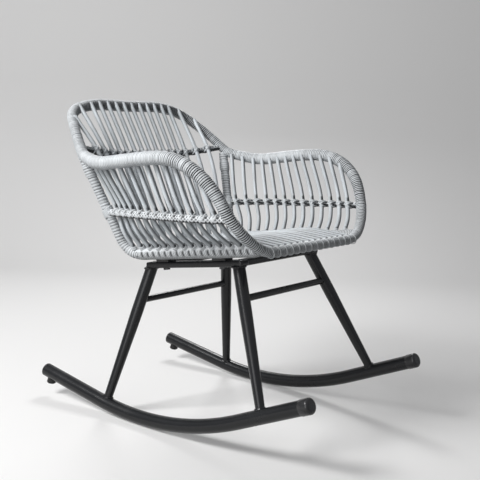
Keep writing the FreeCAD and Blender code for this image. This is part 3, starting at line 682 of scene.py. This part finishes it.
rim_half = bent_route(RIM_POINTS, RIM_BENDS, RIM_EASE)
corner_places = distances(RIM_POINTS) * distances(rim_half)[-1] / distances(RIM_POINTS)[-1]
rim_line = np.concatenate([rim_half, rim_half[-2::-1] * MIRROR])
half_girth, half_open, half_side_shade = (np.interp(distances(rim_half), corner_places, values)
                                    for values in (RIM_RADII, RIM_OPEN, RIM_SIDE_SHADE))
rim_girth, rim_open, rim_side_shade = (np.concatenate([half, half[-2::-1]])
                                 for half in (half_girth, half_open, half_side_shade))
wind("wound_rim", rim_line, Z_AXIS, rim_girth - STRIP_SUNK, RIM_STRIP, rim_open, ["rim"],
     closed=True, sides=RIM_SIDES, side_shade=rim_side_shade)


# Seat poles: three plain cane poles across the seat's underside, between the side poles. The front
# two sit in the saddles; the rear one carries the feet of the back's rods.

POLE_ALONG = {"front_seat_pole": -81 * MM, "rear_seat_pole": 76 * MM, "seat_rear_pole": 122 * MM}
POLE_SIDES = 24
POLE_RINGS = 90
CANE_WAVER = 0.03
SHADOW_PATCH_HALF = 6 * MM
FIBRE_SHIFT = np.array([40, 2, 2])
ROD_WASH = (0.625, 0.668, 0.702, 1)

cane_skin = finished("cane_skin", washed_cane,
                     {"Wash": ROD_WASH, "Cane": BARE_CANE, "Painted Shade": PAINTED_SHADE, "Cover": 0.7},
                     bump=0.2, depth=CANE_RELIEF)


def window(value, half):
    """1 at 0 and near it, falling off softly at half on either side: e to the minus fourth power."""
    return np.exp(-(value / half) ** 4)


def cane(path, up, radius, sides, rings, shadow_places=(), side_shade=0.0):
    """A peeled pole or rod: a tube whose radius wavers a little along it, with its fibre places. On the
    side of turn 0 a painted shadow patch lies at each of the given distances, and the two sides
    that face the next rods get painted shade by a share."""
    reach = distances(path)[-1]
    along = np.linspace(0, reach, rings)[:, None]
    turn = around(sides)[None, :]
    waver = np.interp(along, np.linspace(0, reach, 6), random.normal(0, CANE_WAVER, 6))
    grid = carry(path, up, along, turn, radius * (1 + waver))
    places = np.broadcast_arrays(along, radius * np.cos(turn), radius * np.sin(turn))
    fibres = np.stack(places, axis=-1) + random.uniform(0, 1, 3) * FIBRE_SHIFT
    # Painted shade on the sides that face the next rods, and painted shadow patches at the given distances.
    shade_mask = side_shade * ramp(np.abs(np.cos(turn)), 0.75, 0.95) * np.ones(grid.shape[:2])
    for place in shadow_places:
        shade_mask += window(along - place, SHADOW_PATCH_HALF) * ramp(np.cos(turn), 1 / 9, 2 / 3)
    return grid, fibres, np.clip(shade_mask, 0, 1)


def cane_piece(name, canes, nodes, slot):
    """Several canes as one finished piece."""
    grids, fibres, painted_shades = zip(*canes)
    piece = make_piece(name, *gathered(grids), cane_skin, slot, nodes, 60)
    set_fibre(piece, np.stack(fibres), np.stack(painted_shades))


for name, along in POLE_ALONG.items():
    line = seat_point(np.linspace(-1, 1, 40) * (POLE_X - POLE_RADIUS), along, SHELL_ABOVE)
    pole = cane(line, Z_AXIS, POLE_RADIUS, POLE_SIDES, POLE_RINGS)
    cane_piece(f"{name}_cane", [pole], [name], "cane_pole")


# Rails: a thin cane along the outside of each side's rods and one along the back's, half way up.
# Each is covered with crossed strands of thin split strip, which takes more of the white wash, and
# is fuller where a rod is tied to it, with a small hole beside every tie; the hole, the gaps between
# strands, the underside and the face behind the rods are painted dark as shade.

RAIL_BEND = 150 * MM
RAIL_EASE = 20 * MM
RAIL_HALF = (6.2 * MM, 7.0 * MM)
WEAVE_PITCH = 8.6 * MM
WEAVE_LEAN = 6.5 * MM
WEAVE_HEIGHT = 1.4 * MM
WEAVE_SHARE = 0.52
WEAVE_STEP = 1 * MM
WEAVE_SIDES = 24
SWELL_HALF = 4 * MM
HOLE_BESIDE = 9 * MM
HOLE_HALF = 3.8 * MM
HOLE_LIFT = 0.7
HOLE_SPAN = 0.4
ARM_RAIL = np.array([(205.5, 177, 441), (243, 70, 449), (258, -100, 458), (243, -187, 463)]) * MM
BACK_RAIL = np.array([(-239, 233, 577), (-120, 265, 558), (120, 265, 558), (239, 233, 577)]) * MM
LASH_WASH = (0.68, 0.707, 0.727, 1)
LASH_CANE = (0.425, 0.43, 0.43, 1)

lashing_strip = finished("lashing_strip", washed_cane,
                         {"Wash": LASH_WASH, "Cane": LASH_CANE, "Painted Shade": PAINTED_SHADE, "Cover": 0.8},
                         bump=0.25, depth=CANE_RELIEF)
arm_rail = bent_route(ARM_RAIL, [RAIL_BEND] * 2, RAIL_EASE)
back_rail = bent_route(BACK_RAIL, [RAIL_BEND] * 2, RAIL_EASE)


def crown(place, share):
    """Height across strands laid side by side, one to each whole number and a share of it wide: a
    parabola from 0 at the strand's edges to 1 in its middle."""
    return np.maximum(1 - ((2 * (place % 1) - 1) / share) ** 2, 0)


def weave(path, ties):
    """Crossed strands round a rail, on a grid of distances along it and turns round it: two sets of
    crowns, each leaning with the sine of the turn, and the higher one at each place. The oval grows at
    each tie, and beside it a hole sinks in. Painted shade darkens the hole, the low places between the
    strands, the underside and the face behind the rods. Returns points, fibre places and painted shade."""
    along = np.arange(0, distances(path)[-1], WEAVE_STEP)[:, None]
    turn = around(WEAVE_SIDES)[None, :]
    aside = along + WEAVE_LEAN * np.sin(turn) * np.array([1, -1])[:, None, None]
    cover = crown(aside / WEAVE_PITCH, WEAVE_SHARE).max(axis=0)
    swell = np.exp(-(np.abs(along - ties).min(axis=1, keepdims=True) / SWELL_HALF) ** 2)
    beside = window(np.abs(along - ties - HOLE_BESIDE).min(axis=1, keepdims=True), HOLE_HALF)
    hole = beside * window(np.sin(turn) - HOLE_LIFT, HOLE_SPAN)
    oval = 1 / np.hypot(np.cos(turn) / RAIL_HALF[0], np.sin(turn) / RAIL_HALF[1])
    grid = carry(path, Z_AXIS, along, turn, oval + WEAVE_HEIGHT * (cover - 0.6 + swell - hole))
    fibres = np.stack(np.broadcast_arrays(turn * RAIL_HALF[0], aside[0], 0.0), axis=-1)
    # Painted shade: between the strands, in the holes, on the underside and on the face behind the rods.
    between = 1 - ramp(cover, 0, 0.4)
    under = ramp(-np.sin(turn), 0.5, 0.8) * (1 - 0.5 * swell)
    behind = ramp(-np.sin(turn), -0.3, 0) * ramp(np.cos(turn), 0, 0.3)
    return grid, fibres, np.clip(between + hole + under + behind, 0, 1)


def woven_piece(name, woven, nodes, mirrored=False):
    """A woven cover as a finished piece, or its mirror image."""
    grid, fibres, painted_shades = woven
    if mirrored:
        grid, fibres, painted_shades = grid[:, ::-1] * MIRROR, fibres[:, ::-1], painted_shades[:, ::-1]
    piece = make_piece(name, *gathered([grid]), lashing_strip, "cane_wrap", nodes, 60)
    set_fibre(piece, fibres, painted_shades)


# Rods: round canes side by side. The arms' lean back with the post and run from the rim past the rail to
# the seat's side, the back's fan out upwards, and the seat's lie from front to rear. Their heads lap over
# the rim's inner face. On the arms' and seat's rods the sides that face the next rod are painted dark as
# shade, and each arm rod has a painted shadow patch above its tie and at its foot.

ROD_RADIUS = 4.9 * MM
ROD_SIDES = 14
ARM_ROD_RINGS = 80
ROD_RINGS = 70
ARM_ROD_STEPS = 60
ROD_STEPS = 50
LASH_OFFSET = 11.1 * MM
# Painted shade on the sides that face the next rod, for the arms' and the seat's rods.
ROD_SIDE_SHADE = 0.6
SEAT_SIDE_SHADE = 0.95
TIE_ABOVE = 12 * MM
HEAD_SUNK = 2.5 * MM
HEAD_RISE = 2 * MM
ARM_FROM_Z = 455 * MM
ARM_TO_Y = 215 * MM
CREST_FROM_Z = 600 * MM
ARM_RODS = 13
ARM_LEAN = math.tan(math.radians(23.5))
ARM_ROD_GROUND = (-353 + 25.8 * np.arange(ARM_RODS)) * MM
BELLY_SHARE = 0.45
BELLY_SWELL = 9 * MM
FOOT_OFF = 17.5 * MM
BACK_NUMBERS = np.arange(-7, 8)
FOOT_PITCH = 22 * MM
HEAD_PITCH = 26 * MM
FLANK_FROM = 5
FLANK_SPREAD = 10 * MM
BACK_FOOT_Z = 344 * MM
SEAT_ROD_BREAK = -130 * MM
SEAT_ROD_SHORT = 1.7 * MM
ROD_CLEAR = 0.2 * MM


def where(path, measure, wanted):
    """The points of a path where a measure that grows along it takes the wanted values."""
    order = np.argsort(measure)
    return np.stack([np.interp(wanted, measure[order], path[order, axis]) for axis in range(3)], axis=-1)


def smooth_through(knots, steps):
    """A curve through the knots: on each span the cubic that leaves and meets its ends along the
    slopes which their neighbours give."""
    reach = distances(knots)
    slope = np.gradient(knots, reach, axis=0)
    along = np.linspace(0, reach[-1], steps)
    span = np.clip(np.searchsorted(reach, along, "right") - 1, 0, len(knots) - 2)
    long = (reach[span + 1] - reach[span])[:, None]
    part = (along - reach[span])[:, None] / long
    rise = part * part * (3 - 2 * part)
    leave = part * (1 - part) ** 2 * long
    meet = part * part * (part - 1) * long
    return knots[span] * (1 - rise) + knots[span + 1] * rise + slope[span] * leave + slope[span + 1] * meet


def lean_of(path):
    """Where a leaning plane through each point meets the floor: y less the lean times z."""
    return path[:, 1] - ARM_LEAN * path[:, 2]


arm_part = rim_half[(rim_half[:, 2] > ARM_FROM_Z) & (rim_half[:, 1] < ARM_TO_Y)]
arm_heads = where(arm_part, lean_of(arm_part), ARM_ROD_GROUND)
arm_waists = where(arm_rail, lean_of(arm_rail), ARM_ROD_GROUND) - LASH_OFFSET * X_AXIS
seat_side = seat_point(POLE_X, np.linspace(*SIDE_ALONG, 200), SHELL_ABOVE)
arm_feet = where(seat_side, lean_of(seat_side), ARM_ROD_GROUND)
arm_crossings = arm_waists + LASH_OFFSET * X_AXIS
arm_bellies = arm_waists + (arm_feet - arm_waists) * BELLY_SHARE + BELLY_SWELL * X_AXIS
arm_foot_ends = arm_feet + unit(arm_bellies - arm_feet) * FOOT_OFF
arm_laps = arm_heads - (RIM_RADII.max() - HEAD_SUNK) * X_AXIS
arm_lines = [smooth_through(np.stack(knots), ARM_ROD_STEPS)
             for knots in zip(arm_laps, arm_waists, arm_bellies, arm_foot_ends)]
# Painted shadow patches lie at these distances, just above each tie, and at each rod's foot.
arm_ties = np.linalg.norm(arm_waists - arm_laps, axis=1) - TIE_ABOVE
for hand, side in SIDES.items():
    mirror = np.array([side, 1, 1])
    rods = [cane(line * mirror, X_AXIS, ROD_RADIUS, ROD_SIDES, ARM_ROD_RINGS,
                 [tie, distances(line)[-1]], ROD_SIDE_SHADE)
            for line, tie in zip(arm_lines, arm_ties)]
    cane_piece(f"{hand}_arm_canes", rods, [f"{hand}_arm_rods"], "cane_rod")

in_crest = rim_half[:, 2] > CREST_FROM_Z
crest_part = rim_half[in_crest]
head_x = np.abs(BACK_NUMBERS) * HEAD_PITCH + np.maximum(0, np.abs(BACK_NUMBERS) - FLANK_FROM) * FLANK_SPREAD
back_heads = where(crest_part, -crest_part[:, 0], -head_x)
back_heads[:, 0] = np.sign(BACK_NUMBERS) * head_x
rear_pole = seat_point(0.0, POLE_ALONG["seat_rear_pole"], SHELL_ABOVE)
foot_y = rear_pole[1] + POLE_RADIUS + 1.5 * ROD_RADIUS
back_feet = np.stack(np.broadcast_arrays(BACK_NUMBERS * FOOT_PITCH, foot_y, BACK_FOOT_Z), axis=-1)
rise = (BACK_RAIL[1, 2] - BACK_FOOT_Z) / (back_heads[:, 2] - BACK_FOOT_Z)
rail_x = back_feet[:, 0] + (back_heads[:, 0] - back_feet[:, 0]) * rise
back_crossings = where(back_rail, back_rail[:, 0], rail_x)
back_upward = unit((back_heads - back_crossings) * np.array([0, 1, 1]))
back_inward = np.cross(X_AXIS, back_upward)
back_waists = back_crossings + back_inward * LASH_OFFSET
lap = np.interp(-head_x, -crest_part[:, 0], half_girth[in_crest])[:, None] - HEAD_SUNK
back_laps = back_heads + back_inward * lap + back_upward * HEAD_RISE
back_lines = [smooth_through(np.stack(knots), ROD_STEPS) for knots in zip(back_feet, back_waists, back_laps)]
back_canes = [cane(line, X_AXIS, ROD_RADIUS, ROD_SIDES, ROD_RINGS) for line in back_lines]
cane_piece("back_canes", back_canes, ["back_rods"], "cane_rod")

rod_above = SHELL_ABOVE + POLE_RADIUS + ROD_RADIUS + ROD_CLEAR
seat_lines = []
for x in BACK_NUMBERS * FOOT_PITCH:
    rear = seat_point(x, POLE_ALONG["seat_rear_pole"] + ROD_RADIUS, rod_above)
    middle = seat_point(x, SEAT_ROD_BREAK, rod_above)
    front = RIM_POINTS[0] + np.array([x, RIM_RADII[0] + SEAT_ROD_SHORT, ROD_RADIUS])
    seat_lines.append(smooth_through(np.stack([rear, (rear + middle) / 2, middle, front]), ROD_STEPS))
seat_canes = [cane(line, Z_AXIS, ROD_RADIUS, ROD_SIDES, ROD_RINGS, side_shade=SEAT_SIDE_SHADE) for line in seat_lines]
cane_piece("seat_canes", seat_canes, ["seat_rods"], "cane_rod")


# Lashings: at every crossing thin strip is drawn round rod and rail in a cross, and a ring of it is
# tied round the rod just above; between them the strip covers the rail.

BAND_WIDTH = 3.6 * MM
BAND_THICK = 1.1 * MM
BAND_STEPS = 16
STEP_LENGTH = 2.3 * MM
TIE_UP = 8.4 * MM
CROSS_OVER = 0.4 * MM
RING_ABOVE = TIE_ABOVE - 4 * MM
RING_LEAN = 0.8 * MM


def bands(middles, outward, upward, half_out, half_up, lean=0.0, power=0.8):
    """Closed bands of strip, one round each middle. Each follows a rounded oblong: a cosine to a power
    outwards and a sine to the same power upwards, and lies lean times the sine aside. The strip's own
    section is flat inside and narrower outside."""
    turn = around(BAND_STEPS)
    oblong_out = np.sign(np.cos(turn)) * np.abs(np.cos(turn)) ** power
    oblong_up = np.sign(np.sin(turn)) * np.abs(np.sin(turn)) ** power
    outward, upward = (np.broadcast_to(way, middles.shape)[:, None, None, :] for way in (outward, upward))
    aside = unit(np.cross(outward, upward))
    lift = np.array([0.0, 0.0, 1.0, 1.0]) * BAND_THICK
    shift = np.array([-0.5, 0.5, 0.27, -0.27]) * BAND_WIDTH + lean * np.sin(turn)[:, None]
    reach_out = (half_out + lift) * oblong_out[:, None]
    reach_up = (half_up + lift) * oblong_up[:, None]
    return (middles[:, None, None, :] + reach_out[..., None] * outward + reach_up[..., None] * upward
            + shift[..., None] * aside)


def rings(middles, outward, upward, radius, lean):
    """Round bands of one radius."""
    return bands(middles, outward, upward, radius, radius, lean, power=1.0)


def banded_piece(name, groups):
    """Groups of bands as one finished piece; each strip's fibre starts at a place of its own."""
    grids = np.concatenate(groups)
    along = np.arange(BAND_STEPS)[:, None] * STEP_LENGTH + random.uniform(0, 9, len(grids))[:, None, None]
    fibres = np.stack(np.broadcast_arrays(along, np.linspace(0, BAND_WIDTH, 4), 0.0), axis=-1)
    piece = make_piece(name, *gathered(grids, hoop_faces), lashing_strip, "cane_wrap", sharp=50)
    set_fibre(piece, fibres, np.zeros(grids.shape[:3]))


def lash(name, rods, rails, rod_ahead, rail_ahead):
    """Crossed bands over each crossing and rings round each rod above it, as one piece."""
    outward = unit(rails - rods)
    middles = (rods + rails) / 2
    half_out = LASH_OFFSET / 2 + RAIL_HALF[0]
    groups = []
    for sign in (-1, 1):
        direction = unit(rail_ahead + sign * rod_ahead)
        direction = unit(direction - (direction * outward).sum(axis=1, keepdims=True) * outward)
        over = CROSS_OVER * sign
        groups.append(bands(middles, outward, direction, half_out + over, TIE_UP + over))
    square = unit(np.cross(rod_ahead, outward))
    groups.append(rings(rods + rod_ahead * RING_ABOVE, outward, square, ROD_RADIUS, RING_LEAN))
    banded_piece(name, groups)


def place_along(path, points):
    """Distances along a path of its points nearest to the given ones."""
    apart = np.linalg.norm(path[:, None, :] - points, axis=-1)
    return distances(path)[apart.argmin(axis=0)]


# The rails' covers follow here, because their holes stand beside the ties
arm_rod_ahead = unit(arm_heads - arm_waists)
arm_rail_ahead = unit(np.gradient(arm_crossings, axis=0))
arm_weave = weave(arm_rail, place_along(arm_rail, arm_crossings))
for hand, side in SIDES.items():
    mirror = np.array([side, 1, 1])
    woven_piece(f"{hand}_woven_arm_rail", arm_weave, [f"{hand}_arm_rail"], side < 0)
    lash(f"{hand}_arm_lashings", arm_waists * mirror, arm_crossings * mirror, arm_rod_ahead * mirror,
         arm_rail_ahead * mirror)
woven_piece("woven_back_rail", weave(back_rail, place_along(back_rail, back_crossings)), ["back_rail"])
lash("back_lashings", back_waists, back_crossings, unit(back_heads - back_waists),
     unit(np.gradient(back_crossings, axis=0)))


# Front rail ties: one slanting turn of split strip round the rail at the front end of every seat rod,
# drawn tight over the rail's own winding.

RAIL_TIE_LEAN = 3 * MM
RAIL_TIE_RADIUS = RIM_RADII[0] + 0.2 * MM

rail_tie_places = RIM_POINTS[0] + (BACK_NUMBERS * FOOT_PITCH)[:, None] * X_AXIS
banded_piece("front_rail_ties", [rings(rail_tie_places, -Y_AXIS, Z_AXIS, RAIL_TIE_RADIUS, RAIL_TIE_LEAN)])


# Seat edging: over each side pole strip is tied in slanting strands, with a slit between one tie and
# the next, from the rim to the rear bend; the slits and the gaps between strands are painted dark as
# shade. A few turns on top hold the foot of each arm rod.

EDGING_LENGTH = 328 * MM
EDGING_GIRTH = 12.5 * MM
EDGING_TAPER = 14 * MM
TIE_PITCH = 16.6 * MM
TIE_SLANT = 3.0 * MM
STRAND_PITCH = 4.15 * MM
STRAND_HEIGHT = 0.8 * MM
STRAND_SHARE = 0.75
SLIT_HALF = 2.4 * MM
SLIT_DEEP = 0.7 * MM
SLIT_TURN = -0.1
SLIT_SPAN = 0.5
TOP_TURN = 0.75
TOP_SPAN = 0.35
EDGING_START = 3 * MM
EDGING_STEP = 0.9 * MM
EDGING_SIDES = 44
FOOT_TURNS = 2
FOOT_TURN_FIRST = -3 * MM
FOOT_TURN_PITCH = 3.7 * MM
FOOT_TURN_LEAN = 1.5 * MM

edging_along = np.arange(EDGING_START, EDGING_LENGTH, EDGING_STEP)[:, None]
edging_turn = around(EDGING_SIDES)[None, :]
from_side = (edging_turn + np.pi / 2) % (2 * np.pi) - np.pi
slanted = edging_along - TIE_SLANT * np.sin(from_side)
strand = crown(slanted / STRAND_PITCH, STRAND_SHARE)
from_tie = np.abs((slanted / TIE_PITCH) % 1 - 0.5) * TIE_PITCH
slit = window(from_tie, SLIT_HALF) * window(from_side - SLIT_TURN, SLIT_SPAN)
smooth_top = window(from_side - TOP_TURN, TOP_SPAN)
edging_girth = np.interp(edging_along, [0, EDGING_TAPER, EDGING_LENGTH - EDGING_TAPER, EDGING_LENGTH],
                         np.array([0.75, 1, 1, 0.88]) * EDGING_GIRTH)
edging_height = STRAND_HEIGHT * (strand * (1 - smooth_top) * (1 - slit) + 0.9 * smooth_top - 0.5)
edging_radius = edging_girth + edging_height - SLIT_DEEP * slit
edging_points = carry(side_line, X_AXIS, edging_along, edging_turn, edging_radius)
edging_fibres = np.stack(np.broadcast_arrays(from_side * EDGING_GIRTH, slanted, 0.0), axis=-1)
# Painted shade in the gaps between strands and in the slits.
edging_shade = np.clip((1 - ramp(strand, 0, 0.5)) * (1 - smooth_top) + 1.4 * slit, 0, 1)
edging = (edging_points, edging_fibres, edging_shade)
foot_ahead = unit(arm_bellies - arm_feet)
foot_out = unit(np.cross(foot_ahead, Y_AXIS))
foot_up = np.cross(foot_ahead, foot_out)
for hand, side in SIDES.items():
    mirror = np.array([side, 1, 1])
    woven_piece(f"{hand}_slanted_edging", edging, [f"{hand}_seat_edging"], side < 0)
    turns = []
    for number in range(FOOT_TURNS):
        places = arm_foot_ends + foot_ahead * (FOOT_TURN_PITCH * number + FOOT_TURN_FIRST)
        turns.append(rings(places * mirror, foot_out * mirror, foot_up * mirror * side, ROD_RADIUS,
                           FOOT_TURN_LEAN))
    banded_piece(f"{hand}_foot_turns", turns)


# Post bindings: a second layer of strip drawn tight round each post under the arm, and a knot of
# crossed strands where the rail's end is tied to the post.

BINDING_LENGTH = 30 * MM
BINDING_DROP = 24 * MM
BINDING_GIRTH = np.array([11.0, 12.6, 12.6, 11.4]) * MM
BINDING_RINGS = 20
KNOT_SPREAD = np.arange(-2, 3) * 3.6 * MM
KNOT_LAYERS = ((-4 * MM, 0.2 * MM), (4 * MM, 0.8 * MM))

post_foot = seat_point(POLE_X, SIDE_ALONG[1], SHELL_ABOVE)
post_ahead = unit(POST_TOP - post_foot)
post_out = unit(X_AXIS - (X_AXIS @ post_ahead) * post_ahead)
binding_line = POST_TOP - post_ahead * (BINDING_DROP + np.linspace(BINDING_LENGTH, 0, BINDING_RINGS)[:, None])
binding_girth = np.interp(np.linspace(0, 1, BINDING_RINGS), [0, 0.25, 0.75, 1], BINDING_GIRTH) - STRIP_SUNK
knot_share = (ARM_RAIL[0, 2] - post_foot[2]) / (POST_TOP[2] - post_foot[2])
knot_places = post_foot + (POST_TOP - post_foot) * knot_share + KNOT_SPREAD[:, None] * post_ahead
for hand, side in SIDES.items():
    mirror = np.array([side, 1, 1])
    wind(f"{hand}_wound_binding", binding_line * mirror, X_AXIS, binding_girth, POST_STRIP, POST_OPEN,
         [f"{hand}_post_binding"])
    knot_up = np.cross(post_ahead * mirror, post_out * mirror)
    layers = [rings(knot_places * mirror, post_out * mirror, knot_up, POLE_RADIUS + over, lean)
              for lean, over in KNOT_LAYERS]
    banded_piece(f"{hand}_post_knot", layers)


# Studio: a pale floor that curves up into a backdrop, a broad lamp on the chair's right as the main
# light, weaker ones low on the near side and on the far side, and the camera at the photograph's place.

FLOOR_PALE = (0.74, 0.735, 0.73, 1)
FLOOR_DULL = (0.16, 0.16, 0.16, 1)
FLOOR_GLOW = (0.1, 0.1, 0.1, 1)
FLOOR_ROUGHNESS = 0.7
FLOOR_REACH = 6.0
BACKDROP_START = 1.6
BACKDROP_BEND = 0.8
BACKDROP_HEIGHT = 5.0
AIR_COLOUR = (0.93, 0.95, 1.0, 1)
AIR_STRENGTH = (0.065, 0.55)
LAMPS = {
    "window": ((-2.2, 1.0, 2.4), 1.1, 100.0),
    "near_side": ((-2.5, -0.4, 0.9), 1.6, 24.0),
    "far_side": ((1.3, 1.0, 1.6), 0.6, 16.0),
}
LAMP_AIM = np.array([0.0, 0.0, 0.42])
CAMERA_AT = np.array([-1499.0, -1180.7, 655.6]) * MM
YAW, PITCH, ROLL = (math.radians(angle) for angle in (-52.264, -5.833, 2.138))
FOCAL_PIXELS = 866.06
PRINCIPAL = (239.98, 205.58)
PICTURE = 480
SENSOR = 36.0

view_ahead = np.array([-math.sin(YAW) * math.cos(PITCH), math.cos(YAW) * math.cos(PITCH), math.sin(PITCH)])
level_right = np.array([math.cos(YAW), math.sin(YAW), 0])
level_up = np.cross(level_right, view_ahead)
view_up = math.cos(ROLL) * level_up - math.sin(ROLL) * level_right

floor_material = bpy.data.materials.new("studio_floor")
floor_material.use_nodes = True
floor_tree = floor_material.node_tree
floor_shader = floor_tree.nodes["Principled BSDF"]
floor_shader.inputs["Roughness"].default_value = FLOOR_ROUGHNESS


def shown_to_eye(tree):
    """1 for rays from the camera, straight or by way of a reflection or a clear surface, else 0."""
    seen = tree.nodes.new("ShaderNodeLightPath").outputs
    shown = seen["Is Camera Ray"]
    for title in ("Is Glossy Ray", "Is Transmission Ray"):
        shown = worked(tree, "MAXIMUM", shown, seen[title])
    return shown


shown = shown_to_eye(floor_tree)
floor_tree.links.new(mixed(floor_tree, shown, FLOOR_DULL, FLOOR_PALE), floor_shader.inputs["Base Color"])
floor_tree.links.new(mixed(floor_tree, shown, (0, 0, 0, 1), FLOOR_GLOW),
                     floor_shader.inputs["Emission Color"])
floor_shader.inputs["Emission Strength"].default_value = 1.0

away = unit(view_ahead * np.array([1, 1, 0]))
arc = np.linspace(0, np.pi / 2, 13)
bend = np.stack([BACKDROP_START + BACKDROP_BEND * np.sin(arc), BACKDROP_BEND * (1 - np.cos(arc))], axis=-1)
outline = np.concatenate([[(-FLOOR_REACH, 0.0)], bend, [(BACKDROP_START + BACKDROP_BEND, BACKDROP_HEIGHT)]])
widths = np.array([-FLOOR_REACH, FLOOR_REACH])
floor_points = (outline[:, None, :1] * away + outline[:, None, 1:] * Z_AXIS
                + widths[None, :, None] * level_right).reshape(-1, 3)
row = np.arange(len(outline) - 1)[:, None] * 2
floor_faces = (row + np.array([0, 1, 3, 2])).tolist()
floor_mesh = bpy.data.meshes.new("studio_floor")
floor_mesh.from_pydata(floor_points, [], floor_faces)
floor_mesh.shade_smooth()
floor_mesh.materials.append(floor_material)
floor = bpy.data.objects.new("studio_floor", floor_mesh)
bpy.context.scene.collection.objects.link(floor)


def pointed(target_object, at, ahead, up):
    """Stand a lamp or camera at a point, looking ahead with up upwards."""
    right = unit(np.cross(ahead, up))
    upward = np.cross(right, ahead)
    stance = np.eye(4)
    stance[:3] = np.stack([right, upward, -ahead, at], axis=-1)
    target_object.matrix_world = Matrix(stance.tolist())


for name, (at, width, power) in LAMPS.items():
    lamp = bpy.data.lights.new(name + "_lamp", "AREA")
    lamp.shape = "SQUARE"
    lamp.size = width
    lamp.energy = power
    holder = bpy.data.objects.new(name + "_lamp", lamp)
    bpy.context.scene.collection.objects.link(holder)
    pointed(holder, np.array(at), unit(LAMP_AIM - np.array(at)), Z_AXIS)

world = bpy.data.worlds.new("studio_air")
world.use_nodes = True
air = world.node_tree.nodes["Background"]
air.inputs["Color"].default_value = AIR_COLOUR
world.node_tree.links.new(ranged(world.node_tree, shown_to_eye(world.node_tree), 0, 1, *AIR_STRENGTH),
                          air.inputs["Strength"])
bpy.context.scene.world = world

camera = bpy.data.cameras.new("photo_camera")
camera.sensor_width = SENSOR
camera.lens = FOCAL_PIXELS * SENSOR / PICTURE
camera.shift_x = (PICTURE / 2 - PRINCIPAL[0]) / PICTURE
camera.shift_y = (PRINCIPAL[1] - PICTURE / 2) / PICTURE
camera.clip_start = 0.05
stand = bpy.data.objects.new("photo_camera", camera)
bpy.context.scene.collection.objects.link(stand)
pointed(stand, CAMERA_AT, view_ahead, view_up)
bpy.context.scene.camera = stand
bpy.context.scene.view_settings.view_transform = "Standard"
